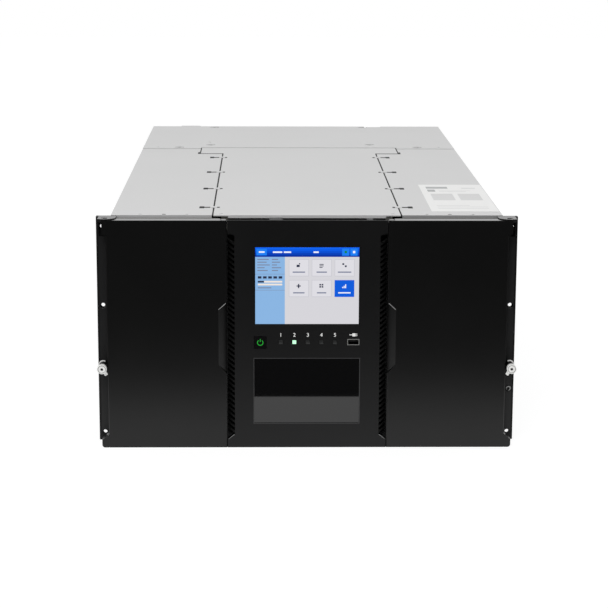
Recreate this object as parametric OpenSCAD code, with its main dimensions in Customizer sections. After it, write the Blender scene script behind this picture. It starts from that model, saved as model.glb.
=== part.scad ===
// Six-unit rack tape library: two pull-out cartridge magazines, a lifting robot
// between them, a column of tape drives, and plug-in power supplies at the rear.
// Frame: +X right, +Y into the rack, +Z up. Origin under the middle of the module.
// Depths are counted from the front face of the doors, and from_door() places them.

/* [Module] */
// Width over the side panels
body_w = 446; // [440:1:448]
// Depth from the door face to the rear face
body_d = 876; // [860:1:900]
// Height of the top covers above the table
cover_top = 266; // [265:0.1:266]
// Thickness of the frame sheets
sheet = 1.5; // [1.2:0.1:1.6]
// Thickness of the top covers
cover_t = 1.2; // [1:0.1:1.2]

/* [Rack ears] */
// Width over the ears
ear_span = 478.6; // [478:0.1:484]
// Thickness of an ear
ear_t = 2; // [1.5:0.1:2]
// Distance between the left and right rack holes
rack_pitch = 465.1; // [464:0.1:466]
// Radius of a rack hole
rack_hole_r = 2.2; // [2.2:0.1:3.4]

/* [Front] */
// Depth of a door shell
door_d = 13.7; // [13:0.1:13.7]
// Half the gap that the doors leave for the middle bezel
door_in = 91.1; // [90:0.1:92]
// Outer edge of a door, from the middle
door_out = 227; // [226:0.1:227]
// Wall of the moulded shells
shell = 2.5; // [2:0.1:3]
// Spacing of the louvre fins
louvre_pitch = 5.9; // [5.5:0.1:7]

/* [Magazines] */
// Cartridge slots in a row
columns = 5; // [4:1:5]
// Rows of cartridge slots
rows = 8; // [6:1:8]
// Spacing of the slots along a row
slot_pitch = 107.4; // [107:0.1:107.4]
// Spacing of the rows
row_pitch = 28; // [27:0.1:28]

/* [Robot] */
// Tooth module of the lift racks
tooth = 1; // [1:1:1]
// Teeth on a lift pinion
pinion_teeth = 20; // [20:1:20]

/* [Rear] */
// Tape drives in the column
drives = 6; // [6:1:6]
// Spacing of the drives
drive_pitch = 41.5; // [41.4:0.1:41.6]

/* [Hidden] */
$fn = 48;
gap = 0.3;                                  // gap between neighbouring sheets and mouldings
screw_reach = 8.3;                          // how far the thumbscrews stand before the doors
handle_reach = 20;                          // how far the rear handles stand behind the panel
door_y = screw_reach - (screw_reach + body_d + handle_reach) / 2;

// chassis
half = body_w / 2;                          // outer face of a side panel
wall_in = half - sheet;                     // inner face of a side panel
wall_top = cover_top - cover_t;             // top of the frame, under the covers
front_y = 14;                               // front face of the front frame
cover_y = 28;                               // front edge of the covers
lip_z = 262.7;                              // foot of the covers' front lips
panel_y = body_d - 2 - gap - sheet;         // front face of the rear panel
seam_x = 107.5;                             // seam between the middle and side covers
seam_gap = 0.9;                             // half the width of that seam
step_x = 138.5;                             // half width of the middle cover's rear step
step_y = [558.5, 619.5];                    // the step's front and rear edges
step_side = step_x + 1.6;                   // edge of the covers beside the step
side_seam_y = 608.5;                        // seam behind the side covers
hook_y = [84, 229, 373, 516];               // hooks along each seam
notch_x = [107, 132];                       // cable notch in the rear edge
rack_x = rack_pitch / 2;
ear_y = 20;                                 // front face of the ears
ear_hole_z = [14.2, 163.8, 254.8];
thumb_at = [233.2, 94.5];
ear_screw_at = [rack_x + 0.5, 66.2];        // screw that holds the right ear

// magazines
mag_in = 110;                               // aisle side of a magazine
mag_out = 219.8;                            // outer face of a magazine
mag_wall = 2;
tray_t = 2;
tray_z = 28.5;                              // underside of the lowest tray
slots_y = 50;                               // front of the first slot
mag_end_y = slots_y + columns * slot_pitch; // rear of the last slot
mag_z = [26.7, 256.5];
divider_d = 45;                             // how far a divider reaches towards the aisle
strip_gap = 1.8;                            // room for the spring strips behind the trays

// robot
pinion_r = tooth * pinion_teeth / 2;
tooth_pitch = PI * tooth;
shaft_z = 13;
shaft_r = 3;
rack_line_y = [50, 594];                    // pitch lines of the front and rear lift racks
shaft_y = [rack_line_y[0] + pinion_r, rack_line_y[1] - pinion_r];
beam_x = [82, 88];
rod_x = 60;
rod_z = 20;
rod_r = 3;
robot_y = slots_y + slot_pitch * columns / 2; // the carriage parks at the middle column
tape_w = 102;
tape_t = 21.5;
picker_z = 28.5;                            // underside of the picker
picker_l = 134;
channel_w = 108;
channel_h = 22.5;

// rear
drive_z = 15.25;                            // underside of the lowest drive
drive_h = 39.5;
drive_w = 168;
drive_y = 622;                              // front of the drives
mouth_z = 26;                               // middle of a drive's mouth above its underside
bay_x = 86;                                 // inner face of the drive bay's walls
supply_x = [98, 218];
supply_z = [9, 75];
supply_h = 62;
supply_y = 626;
fan_x = 186;
fan_r = 27;
controller_z = [9, 107];
jack_x = -182;
jack_z = [28, 48];
face_y = panel_y + sheet + gap;             // front of the plug-in units' face plates
pi_deg = 180 / PI;
nose_at = [229.3, 15.4];                    // middle of the rounded nose of an ear's cap
nose_r = 13.2;

module from_door() {
    translate([0, door_y, 0]) children();
}

// A box given by its lowest and highest place along each axis
module span(x, y, z) {
    translate([x[0], y[0], z[0]]) cube([x[1] - x[0], y[1] - y[0], z[1] - z[0]]);
}

// What is drawn for the right-hand side, or its mirror image on the left
module on_side(side) {
    mirror([side < 0 ? 1 : 0, 0, 0]) children();
}

// A round bar from y = 0 along +Y
module rod_y(r, length) {
    rotate([-90, 0, 0]) cylinder(r = r, h = length);
}

// An outline in X and Z, as thick as t, from y = 0 along +Y
module plate_xz(t) {
    translate([0, t, 0]) rotate([90, 0, 0]) linear_extrude(t) children();
}

// ---------------------------------------------------------------- chassis

module floor_pan() {
    color("silver") from_door() difference() {
        span([-wall_in, wall_in], [front_y, panel_y], [0, sheet]);
        for (x = [-1, 1], y = [120 : 120 : 480])
            translate([x * 165, y, -1]) cylinder(r = 3, h = 4);
        for (x = [-60 : 20 : 60], y = [660, 690])
            translate([x, y, -1]) cylinder(r = 4, h = 4);
    }
}

module side_panel(side) {
    flange = 12;
    color("silver") from_door() on_side(side) difference() {
        union() {
            span([wall_in, half], [front_y, panel_y], [0, wall_top]);
            span([half - flange, half], [cover_y + 3, panel_y], [wall_top - sheet, wall_top]);
            span([half - flange, half], [front_y + sheet, panel_y], [sheet, 2 * sheet]);
        }
        for (y = [700 : 12 : 832], z = [40 : 12 : 232])
            translate([wall_in - 1, y, z]) rotate([0, 90, 0]) cylinder(r = 3, h = 4, $fn = 24);
        for (y = [110, 330, 550], z = [60, 205])
            translate([half - 0.6, y, z]) rotate([0, 90, 0]) cylinder(r = 5, h = 2);
    }
}

module front_frame() {
    latch_x = [-43, -28];                   // latch that the middle cover hooks on
    color("dimgray") from_door() difference() {
        union() {
            span([-wall_in, wall_in], [front_y, front_y + sheet], [sheet, lip_z - 10]);
            span(latch_x, [front_y, front_y + sheet], [lip_z - 11, lip_z + 0.6]);
            span(latch_x, [front_y, cover_y - gap], [lip_z - 0.6, lip_z + 0.6]);
            for (side = [-1, 1]) on_side(side) {
                span([102, wall_in], [front_y, front_y + sheet], [lip_z - 11, lip_z - gap]);
                span([102, wall_in], [front_y, cover_y + 10], [lip_z - gap - sheet, lip_z - gap]);
            }
        }
        for (side = [-1, 1]) on_side(side)
            span([mag_in - 1.5, mag_out + 0.6], [front_y - 1, front_y + 3], [25, 258.5]);
        span([-72, 72], [front_y - 1, front_y + 3], [20, 242]);
        for (side = [-1, 1]) on_side(side)
            span([75, 90], [front_y - 1, front_y + 3], [20, 245]);
    }
}

module rear_panel() {
    vent_z = [150 : 9 : 250];
    color("silver") from_door() difference() {
        span([-half, half], [panel_y, panel_y + sheet], [0, wall_top]);
        span([-drive_w / 2 - 1, drive_w / 2 + 1], [panel_y - 1, panel_y + 3], [12, 263]);
        for (z = supply_z)
            span([supply_x[0] - 1, supply_x[1] + 1], [panel_y - 1, panel_y + 3],
                 [z + 0.5, z + supply_h - 0.5]);
        span([-supply_x[1] + 2, -supply_x[0] - 2], [panel_y - 1, panel_y + 3],
             [controller_z[0] + 1, controller_z[1] - 1]);
        span(notch_x, [panel_y - 1, panel_y + 3], [256, 270]);
        for (side = [-1, 1], x = [112 : 9 : 204], z = vent_z)
            translate([side * x, panel_y - 1, z]) rod_y(3, 4, $fn = 24);
    }
}

// Half of the hook that reaches over a seam, with the hole that it was lanced from
module hook(side) {
    on_side(side) span([seam_x - 3.5, seam_x + 3.6], [-4.5, 4.5], [cover_top, cover_top + 0.7]);
}

module side_cover(side) {
    color("silver") from_door() on_side(side) difference() {
        union() {
            translate([0, 0, wall_top]) linear_extrude(cover_t) polygon([
                [seam_x + seam_gap, cover_y], [half, cover_y], [half, side_seam_y - 1.5],
                [step_side, side_seam_y - 1.5], [step_side, step_y[0] - 3],
                [seam_x + seam_gap, step_y[0] - 3]
            ]);
            span([seam_x + 1, wall_in - gap], [cover_y, cover_y + cover_t], [lip_z, cover_top]);
        }
        for (y = hook_y) {
            span([seam_x + 4.2, seam_x + 12], [y - 1.6, y + 1.6], [wall_top - 1, cover_top + 1]);
            span([seam_x + 11.5, seam_x + 16.5], [y - 4.4, y + 4.4], [wall_top - 1, cover_top + 1]);
        }
        // relief at the corner of the step
        span([step_x - 1, step_x + 3.6], [step_y[0] - 4, step_y[0] + 8], [wall_top - 1, cover_top + 1]);
        for (x = [137, 163, 190])
            translate([x, cover_y + 6, cover_top - 0.5]) cylinder(r = 2.2, h = 2);
    }
}

module centre_top_cover() {
    color("silver") from_door() difference() {
        union() {
            span([-seam_x + seam_gap, seam_x - seam_gap], [cover_y, step_y[0] + 1], [wall_top, cover_top]);
            span([-step_x, step_x], [step_y[0], step_y[1] - 1.2], [wall_top, cover_top]);
            span([-90, 90], [cover_y, cover_y + cover_t], [lip_z, cover_top]);
            for (side = [-1, 1], y = hook_y)
                translate([0, y, 0]) hook(side);
        }
        for (side = [-1, 1], y = hook_y)
            on_side(side) span([seam_x - 6.6, seam_x - 3.8], [y - 2, y + 2],
                               [wall_top - 1, cover_top + 2]);
        for (x = [-98, 98])
            translate([x, cover_y + 10, cover_top - 0.5]) cylinder(r = 2.2, h = 2);
    }
}

dimple_at = [[-127, 649], [104, 652], [-127, 864], [104, 864], [-171, 622], [171, 622]];
rear_top = cover_top + 0.5;                 // the rear cover stands a little proud

module rear_top_cover() {
    color("silver") from_door() difference() {
        union() {
            span([-half, half], [step_y[1] + gap, body_d], [wall_top, rear_top]);
            for (side = [-1, 1]) on_side(side)
                span([step_side, half], [side_seam_y, step_y[1] + 1], [wall_top, rear_top]);
            span([-179.5, -149.5], [body_d - 1, body_d + 8], [wall_top, rear_top]);
        }
        span(notch_x, [body_d - 7, body_d + 1], [wall_top - 1, rear_top + 1]);
        for (p = dimple_at)
            translate([p[0], p[1], cover_top - 0.6]) cylinder(r = 7, h = 2);
        for (p = [[-129, 680], [-202, 624], [202, 624]])
            translate([p[0], p[1], wall_top - 1]) cylinder(r = 2, h = 4);
    }
}

module cover_screws() {
    color("gray") from_door() {
        for (p = dimple_at)
            translate([p[0], p[1], cover_top - 0.6]) cylinder(r1 = 4.2, r2 = 3.6, h = 0.6);
        for (x = [-163, 163])
            translate([x, cover_y + 6, cover_top - 0.5]) cylinder(r = 2, h = 0.9);
        for (side = [-1, 1], y = [110, 330, 550], z = [60, 205]) on_side(side)
            translate([half - 0.6, y, z]) rotate([0, 90, 0]) cylinder(r1 = 4, r2 = 3.4, h = 0.6);
        translate([ear_screw_at[0], ear_y, ear_screw_at[1]]) rotate([90, 0, 0]) difference() {
            cylinder(r1 = 3, r2 = 2.7, h = 5);
            translate([0, 0, 3.5]) cylinder(r = 1.3, h = 2);
        }
    }
}

// ---------------------------------------------------------------- rack ears

// Each ear is a bent plate with a captive sleeve for its thumbscrew
module rack_ears() {
    leg = 62;
    sleeve_y = -2.8;
    sleeve_r = 4.4;
    collar_r = 5.8;
    edge_w = 2.7;                           // width of the turned outer edge
    ear_z = [4, lip_z - 1];
    color("black") from_door() for (side = [-1, 1]) on_side(side) difference() {
        union() {
            span([half, ear_span / 2], [ear_y, ear_y + ear_t], ear_z);
            span([ear_span / 2 - edge_w, ear_span / 2], [ear_y, cover_y], [ear_z[1] - 1, lip_z + 2.9]);
            span([half, half + ear_t], [ear_y, ear_y + leg], ear_z);
            translate([thumb_at[0], sleeve_y, thumb_at[1]]) rod_y(sleeve_r, ear_y - sleeve_y + 1);
            translate([thumb_at[0], ear_y - 4, thumb_at[1]]) rod_y(collar_r, 4.1);
        }
        for (z = ear_hole_z)
            translate([rack_x, ear_y - 1, z]) rod_y(rack_hole_r, ear_t + 2);
        translate([thumb_at[0], sleeve_y - 1, thumb_at[1]]) rod_y(shaft_r + 0.1, ear_y - sleeve_y + 4);
    }
}

// Moulded strip before the ear, and the cap with a rounded nose on top of it
module ear_trims() {
    strip_x = [door_out + 1, ear_span / 2 - 3];
    strip_y = [15, ear_y - 0.05];
    cap_z = [lip_z - 0.7, lip_z + 2.9];
    cap_out = strip_x[1] + 0.1;
    color("black") from_door() for (side = [-1, 1]) on_side(side) difference() {
        union() {
            span(strip_x, strip_y, [16, 244]);
            span([strip_x[0] + 8, strip_x[1]], strip_y, [243, cap_z[0] + 0.1]);
            intersection() {
                translate([nose_at[0], nose_at[1], cap_z[0]])
                    cylinder(r = nose_r, h = cap_z[1] - cap_z[0]);
                span([nose_at[0] - nose_r, cap_out], [0, front_y - 0.05], cap_z);
            }
            span([half + gap, cap_out], [front_y - 0.1, cover_y], cap_z);
            // leaf that covers the edge of the side panel
            span([nose_at[0] - nose_r + 0.4, half + 1], [front_y - 0.1, cover_y - gap],
                 [wall_top + 0.1, cap_z[1]]);
            // rivet
            translate([rack_x, strip_y[0] - 0.6, 113.8]) rod_y(1.3, 1);
        }
        translate([thumb_at[0], 0, thumb_at[1]]) rod_y(6.1, 30);
        for (z = ear_hole_z)
            translate([rack_x, 0, z]) rod_y(rack_hole_r + 1, 30);
        if (side > 0) translate([ear_screw_at[0], 0, ear_screw_at[1]]) rod_y(3.6, 30);
        span([226, 232.5], [9, 12.4], [cap_z[0] - 1, cap_z[1] + 1]);
    }
}

// A knurled thumbscrew: a fluted head with a ring groove and a round recess in its face
module thumbscrew(side) {
    head_r = 5.4;
    head_t = 5;
    flutes = 22;
    color("gainsboro") from_door() on_side(side) translate([thumb_at[0], 0, thumb_at[1]]) {
        difference() {
            union() {
                translate([0, -screw_reach, 0]) rod_y(head_r, head_t);
                translate([0, head_t - screw_reach - 1, 0]) rod_y(shaft_r, 30);
            }
            for (k = [0 : flutes - 1])
                rotate([0, k * 360 / flutes, 0]) translate([head_r + 0.35, 0.9 - screw_reach, 0])
                    rod_y(0.6, head_t, $fn = 16);
            translate([0, -screw_reach - 1, 0]) difference() {
                rod_y(4.5, 1.5);
                translate([0, -1, 0]) rod_y(3.9, 4);
            }
            translate([0, -screw_reach - 1, 0]) rod_y(1.5, 3.2, $fn = 24);
        }
    }
}

// ---------------------------------------------------------------- middle bezel

bezel_half = door_in - 0.4;
bezel_z = [0.2, 264.9];
channel_x = 82.4;                           // inner edge of the louvre channels
channel_z = [11.5, 249.4];
screen_x = [-59, 58.4];
screen_z = [145.5, 233.9];
window_x = [-60.8, 60.2];
window_z = [28.6, 105.7];
button_at = [-53.4, 123.9];
button_w = 14;
light_x = [-30, -14.6, 0.8, 16.2, 31.6];
light_z = 124.4;
light_w = 4.6;
usb_at = [52.6, 124.5];

// Front outline of the bezel: the louvre channels are let into its edges, with slanting ends
module bezel_outline() {
    polygon([
        [-bezel_half, bezel_z[0]], [bezel_half, bezel_z[0]],
        [bezel_half, channel_z[0] - 1.5], [channel_x, channel_z[0] + 4],
        [channel_x, channel_z[1] - 2.2], [bezel_half, channel_z[1] + 1.8],
        [bezel_half, bezel_z[1]], [-bezel_half, bezel_z[1]],
        [-bezel_half, channel_z[1] + 1.8], [-channel_x, channel_z[1] - 2.2],
        [-channel_x, channel_z[0] + 4], [-bezel_half, channel_z[0] - 1.5]
    ]);
}

module centre_bezel() {
    color("black") from_door() difference() {
        union() {
            plate_xz(shell) bezel_outline();
            // side walls of the raised middle
            for (side = [-1, 1]) on_side(side) {
                span([channel_x - shell, channel_x], [0, door_d], [channel_z[0] - 6, channel_z[1] - 2.3]);
                span([bezel_half - shell, bezel_half], [0, door_d], [bezel_z[0], channel_z[0] - 2]);
                // shelf under the channel
                plate_xz(9) polygon([
                    [channel_x - shell, channel_z[0] - 6], [bezel_half, channel_z[0] - 6],
                    [bezel_half, channel_z[0] - 1.5], [channel_x, channel_z[0] + 4],
                    [channel_x - shell, channel_z[0] + 4]
                ]);
            }
            span([-bezel_half, bezel_half], [0, door_d], [bezel_z[0], bezel_z[0] + shell]);
            span([-bezel_half, bezel_half], [0, 7], [bezel_z[1] - 6, bezel_z[1] - 3.5]);
            // raised frame round the window and the screen
            span([window_x[0] - 3, window_x[1] + 3], [0, 8],
                 [window_z[0] - 3, window_z[1] + 3]);
            span([screen_x[0] - 4, screen_x[1] + 4], [0, 6],
                 [screen_z[0] - 4, screen_z[1] + 4]);
        }
        span(window_x, [-1, 20], window_z);
        span([screen_x[0] - 1.5, screen_x[1] + 1.5], [-1, 20], [screen_z[0] - 1.5, screen_z[1] + 1.5]);
        span([button_at[0] - button_w / 2 - 0.3, button_at[0] + button_w / 2 + 0.3], [-1, 20],
             [button_at[1] - button_w / 2 - 0.3, button_at[1] + button_w / 2 + 0.3]);
        for (x = light_x)
            span([x - light_w / 2, x + light_w / 2], [-1, 20],
                 [light_z - light_w / 2, light_z + light_w / 2]);
        span([usb_at[0] - 6.8, usb_at[0] + 6.8], [-1, 20], [usb_at[1] - 3.5, usb_at[1] + 3.5]);
    }
}

// Slanting fins in the air slots beside the bezel; their front edges fall back to the door
module vent_louvres() {
    fin_t = 2.7;
    rise = 4.4;                             // how much higher a fin ends beside the door
    inner = channel_x + 0.05;
    outer = bezel_half - 0.4;
    first = channel_z[0] + 6;
    count = floor((channel_z[1] - first - rise - fin_t - 3) / louvre_pitch);
    color("black") from_door() for (side = [-1, 1]) on_side(side) {
        span([inner, outer], [11.5, 13.5], [channel_z[0] + 4, channel_z[1] - 3]);
        difference() {
            for (k = [0 : count])
                translate([0, 0.8, first + k * louvre_pitch]) plate_xz(11) polygon([
                    [inner, 0], [outer, rise], [outer, rise + fin_t], [inner, fin_t]
                ]);
            linear_extrude(300) polygon([
                [inner + 2, 0], [outer + 1, 0], [outer + 1, 8.3], [inner + 2, 0.8]
            ]);
        }
    }
}

// The glass, its liquid-crystal panel and the board behind it
module touch_screen() {
    color("lightsteelblue") from_door() {
        span([screen_x[0] - 1.3, screen_x[1] + 1.3], [0.6, 2.4], [screen_z[0] - 1.3, screen_z[1] + 1.3]);
        span([screen_x[0] - 1.3, screen_x[1] + 1.3], [2.4, 8], [screen_z[0] - 1.3, screen_z[1] + 1.3]);
        span([-68, 68], [9.8, 11.4], [112, 239]);
        for (x = [-66, 66], z = [116, 236])
            translate([x, shell, z]) rod_y(1.8, 9.8 - shell);
    }
}

module view_window() {
    color([0.05, 0.05, 0.06, 0.8]) from_door()
        span([window_x[0] + 0.6, window_x[1] - 0.6], [1, 3.5],
             [window_z[0] + 0.6, window_z[1] - 0.6]);
}

module status_lights() {
    color("palegreen") from_door() for (x = light_x)
        span([x - light_w / 2 + 0.15, x + light_w / 2 - 0.15], [0.3, 9.8],
             [light_z - light_w / 2 + 0.15, light_z + light_w / 2 - 0.15]);
}

module usb_socket() {
    color("silver") from_door() translate([usb_at[0], 0, usb_at[1]]) {
        difference() {
            span([-6.6, 6.6], [-0.2, 9.8], [-3.3, 3.3]);
            span([-6.1, 6.1], [-1, 9.2], [-2.8, 2.8]);
        }
        span([-5, 5], [1.2, 9.2], [0.4, 2.2]);
    }
}

module power_button() {
    color("black") from_door() translate([button_at[0], 0, button_at[1]])
        span([-button_w / 2, button_w / 2], [-0.2, 6], [-button_w / 2, button_w / 2]);
}

// ---------------------------------------------------------------- doors and magazines

door_z = [0.2, 264.6];
grip_z = [87.4, 98, 161.9, 170.7];           // ends of the grip at its mouth and its root
grip_x = [door_in, 100.8];
tongue_z = [5, 252];                        // undersides of the tongues that hold the corners

// Corner pieces that widen the door at its foot and head beside the bare ear
module foot_outline() {
    tip_x = 234.8;
    r = 3.4;
    difference() {
        polygon([
            [door_out + 0.1, door_z[0]], [tip_x, door_z[0]], [tip_x, 9.5], [door_out + 0.1, 15]
        ]);
        difference() {
            translate([tip_x - r, door_z[0] - 1]) square([r + 1, r + 1]);
            translate([tip_x - r, door_z[0] + r]) circle(r = r);
        }
    }
}

module head_outline() {
    tip_x = 231.6;
    polygon([
        [door_out + 0.1, 245.5], [tip_x, 249.5], [tip_x, door_z[1]], [door_out + 0.1, door_z[1]]
    ]);
}

// Tongue by which a corner piece clips into the side wall of the door
module corner_tongue(z, play = 0) {
    span([door_out - 5, door_out + 1], [5 - play, 8 + play], [z - play, z + 6 + play]);
}

// Shell of the door: its upright edges are chamfered, and its foot and head reach past it
module door_shell(edge) {
    difference() {
        translate([0, 0, door_z[0]]) linear_extrude(door_z[1] - door_z[0]) polygon([
            [door_in, edge], [door_in + edge, 0], [door_out - edge, 0], [door_out, edge],
            [door_out, door_d], [door_in, door_d]
        ]);
        span([door_in + shell, door_out - shell], [shell, door_d + 1],
             [door_z[0] + shell, door_z[1] - shell]);
        for (z = tongue_z)
            corner_tongue(z, 0.1);
    }
    plate_xz(door_d) foot_outline();
    plate_xz(door_d) head_outline();
    for (z = tongue_z)
        corner_tongue(z);
}

// Space for the fingers: a raked face with slanting ends
module grip_space() {
    intersection() {
        linear_extrude(400) polygon([
            [grip_x[0] - 1, -1], [grip_x[1], -1], [grip_x[1], 0],
            [grip_x[0], 6.5], [grip_x[0] - 1, 6.5]
        ]);
        translate([0, -2, 0]) plate_xz(20) polygon([
            [grip_x[0] - 1, grip_z[0] - 1], [grip_x[0], grip_z[0]], [grip_x[1], grip_z[1]],
            [grip_x[1], grip_z[2]], [grip_x[0], grip_z[3]], [grip_x[0] - 1, grip_z[3] + 1]
        ]);
    }
}

module door(side) {
    pocket_z = door_z[1] - 2.1;             // floor of the pockets in the door's top
    color("black") from_door() on_side(side) {
        difference() {
            union() {
                door_shell(0.8);
                // stiffening ribs, the block behind the grip and the screw posts
                for (x = [125, 160, 195])
                    span([x, x + 1.5], [shell - 0.1, 9], [2, pocket_z]);
                for (z = [60, 120, 180, 225])
                    span([door_in + 1, door_out - 1], [shell - 0.1, 7], [z, z + 1.5]);
                span([door_in, grip_x[1] + 3], [1, door_d], [grip_z[0] - 4, grip_z[3] + 4]);
                for (x = [118, 212], z = [40, 245])
                    translate([x, shell - 0.1, z]) rod_y(5, door_d - shell + 0.1);
            }
            grip_space();
            // room for the nose of the ear's cap
            translate([nose_at[0], nose_at[1], lip_z - 1.2]) cylinder(r = nose_r + 0.7, h = 8);
            // pocket round the latch button at the inner corner
            span([door_in - 1, 98.5], [2, door_d + 1], [pocket_z, door_z[1] + 1]);
        }
        // latch button
        translate([95, 8.2, pocket_z - 0.3]) cylinder(r = 3.2, h = 2.2);
    }
}

// Front box, outer wall and rear end, bent from one sheet
module magazine_frame(side) {
    front = door_d;
    color("gray") from_door() on_side(side) difference() {
        union() {
            span([mag_in, mag_out], [front, front + mag_wall], mag_z);
            span([mag_in, mag_out], [slots_y - mag_wall, slots_y], mag_z);
            span([mag_out - mag_wall, mag_out], [front, mag_end_y + mag_wall], mag_z);
            span([mag_in, mag_out], [mag_end_y, mag_end_y + mag_wall], mag_z);
        }
        for (k = [0 : columns - 1], r = [0 : rows - 1])
            translate([mag_out - 5, slots_y + slot_pitch * (k + 0.5), tray_z + row_pitch * (r + 0.5)])
                rotate([0, 90, 0]) cylinder(r = 6, h = 8, $fn = 24);
    }
}

// One tray, notched for the dividers and cut back before each slot
module tray_outline() {
    inner = mag_in;
    outer = mag_out - mag_wall - strip_gap;
    cut = 9;
    difference() {
        translate([inner, slots_y]) square([outer - inner, columns * slot_pitch]);
        for (k = [1 : columns - 1])
            translate([outer - divider_d / 2, slots_y + k * slot_pitch - 1.1])
                square([divider_d / 2 + 1, 2.2]);
        for (k = [0 : columns - 1])
            translate([inner, slots_y + slot_pitch * (k + 0.5)])
                polygon([[-1, -34], [cut, -24], [cut, 24], [-1, 34]]);
    }
}

module magazine_trays(side) {
    color("dimgray") from_door() on_side(side) for (r = [0 : rows])
        translate([0, 0, tray_z + r * row_pitch]) linear_extrude(tray_t) tray_outline();
}

// Upright partitions that slot into the trays
module magazine_dividers(side) {
    outer = mag_out - mag_wall - strip_gap;
    low = tray_z - 0.1;
    color("dimgray") from_door() on_side(side) for (k = [1 : columns - 1])
        translate([0, slots_y + k * slot_pitch - 1, 0]) plate_xz(2) difference() {
            translate([outer - divider_d, tray_z - 1.5])
                square([divider_d, rows * row_pitch + tray_t + 2.5]);
            for (r = [0 : rows])
                translate([outer - divider_d - 1, low + r * row_pitch])
                    square([divider_d / 2 + 1.1, tray_t + 0.2]);
        }
}

// A sprung finger for each row, on a strip behind each column
module tape_springs(side) {
    back = mag_out - mag_wall;
    t = 0.8;
    color("lightgray") from_door() on_side(side) for (k = [0 : columns - 1])
        translate([0, slots_y + slot_pitch * (k + 0.5) - 5, 0]) {
            span([back - t, back], [0, 10], [tray_z + 2, tray_z + rows * row_pitch]);
            for (r = [0 : rows - 1])
                translate([back - t, 0, tray_z + r * row_pitch + 8]) plate_xz(10)
                    polygon([[0, 0], [-6, 6], [-6, 12], [-5.2, 12], [-5.2, 6.4], [0, 1.3]]);
        }
}

// Runners that carry both magazines, and guides above them
module magazine_runners() {
    foot = 26.4;
    color("darkgray") from_door() for (side = [-1, 1]) on_side(side) {
        span([mag_in - 2, mag_in - 0.6], [20, 590], [sheet, foot + 4]);
        span([mag_in - 0.6, mag_in + 8], [20, 590], [foot - 1.4, foot]);
        span([mag_out - 9, wall_in], [20, 590], [foot - 1.4, foot]);
        span([mag_out + 0.5, wall_in], [20, 590], [foot, foot + 9]);
        span([mag_in + 6, mag_in + 12], [39, 590], [257.2, wall_top]);
    }
}

// ---------------------------------------------------------------- robot

// Half of the angle that a pinion tooth fills at radius r
function involute_deg(a) = tan(a) * pi_deg - a;
function tooth_half(r, base) =
    90 / pinion_teeth - 0.35 + involute_deg(20) - involute_deg(acos(min(1, base / r)));

module pinion_outline() {
    base = pinion_r * cos(20);
    radii = [pinion_r - 1.25 * tooth, base + 0.05, pinion_r - 0.2, pinion_r,
             pinion_r + 0.35 * tooth, pinion_r + 0.7 * tooth, pinion_r + 0.95 * tooth];
    last = len(radii) - 1;
    polygon([
        for (k = [0 : pinion_teeth - 1], i = [0 : 2 * last + 1])
            let (
                r = i <= last ? radii[i] : radii[2 * last + 1 - i],
                half_angle = tooth_half(r, base),
                a = 360 / pinion_teeth * k + (i <= last ? -half_angle : half_angle)
            )
            [r * cos(a), r * sin(a)]
    ]);
}

// Rack teeth along +Y of the sketch, pointing to +X, with a space centred on zero
module rack_outline(count, back) {
    thick = tooth_pitch / 4 - 0.06;
    slope = tan(20) * tooth;
    polygon(concat(
        [[-back, -tooth_pitch / 2]],
        [for (k = [0 : count - 1], p = [
                [-1.25 * tooth, -thick - 1.25 * slope], [0.95 * tooth, -thick + 0.95 * slope],
                [0.95 * tooth, thick - 0.95 * slope], [-1.25 * tooth, thick + 1.25 * slope]
            ]) [p[0], p[1] + (k + 0.5) * tooth_pitch]],
        [[-back, count * tooth_pitch]]
    ));
}

// A rack on its post, for the front pair; the rear pair is its mirror image
module lift_racks() {
    low = 3;                                // teeth below the parked shaft
    count = 76;
    back = 6;
    post_d = 6;
    start = shaft_z - low * tooth_pitch;
    color("lightgray") from_door() for (x = [-98, 90], end = [0, 1])
        translate([x, rack_line_y[end], 0]) mirror([0, end, 0]) {
            translate([0, 0, start]) rotate([90, 0, 90]) linear_extrude(8) rack_outline(count, back);
            span([0, 8], [-back - post_d, -back + 0.1], [sheet, wall_top - 1]);
        }
}

// Two beams, end plates and round rods, with a motor on the left beam
module robot_platform() {
    beam_z = [4, 24];
    ends_y = [46, 598];
    color("slategray") from_door() {
        difference() {
            union() {
                for (side = [-1, 1]) on_side(side) span(beam_x, ends_y, beam_z);
                for (y = [ends_y[0], ends_y[1] - 4])
                    span([-beam_x[1], beam_x[1]], [y, y + 4], [16.6, beam_z[1]]);
                for (y = [150 : 110 : 480])
                    span([-beam_x[0] - 1, beam_x[0] + 1], [y, y + 14], [4, 6]);
            }
            for (y = shaft_y)
                translate([-200, y, shaft_z]) rotate([0, 90, 0]) cylinder(r = shaft_r + 0.05, h = 400);
            for (side = [-1, 1], y = [120 : 60 : 540]) on_side(side)
                translate([beam_x[0] - 1, y, 11]) rotate([0, 90, 0]) cylinder(r = 4, h = 10, $fn = 24);
        }
        for (x = [-rod_x, rod_x])
            translate([x, ends_y[0] + 4, rod_z]) rod_y(rod_r, ends_y[1] - ends_y[0] - 8);
        // lift motor between the beams, under the rods
        difference() {
            span([beam_x[0] - 44, beam_x[0]], [shaft_y[0] + 14, shaft_y[0] + 34], [6, 15.6]);
            translate([beam_x[0] - 46, shaft_y[0] + 24, 10.6]) rotate([0, 90, 0]) cylinder(r = 2, h = 4);
        }
    }
}

// One shaft with a pinion at each end
module lift_shaft(y) {
    color("lightgray") from_door() translate([0, y, shaft_z]) {
        translate([-100, 0, 0]) rotate([0, 90, 0]) cylinder(r = shaft_r, h = 200);
        for (x = [-98, 90]) translate([x, 0, 0]) rotate([90, 0, 90]) linear_extrude(8)
            difference() {
                pinion_outline();
                circle(r = shaft_r);
            }
    }
}

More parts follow.
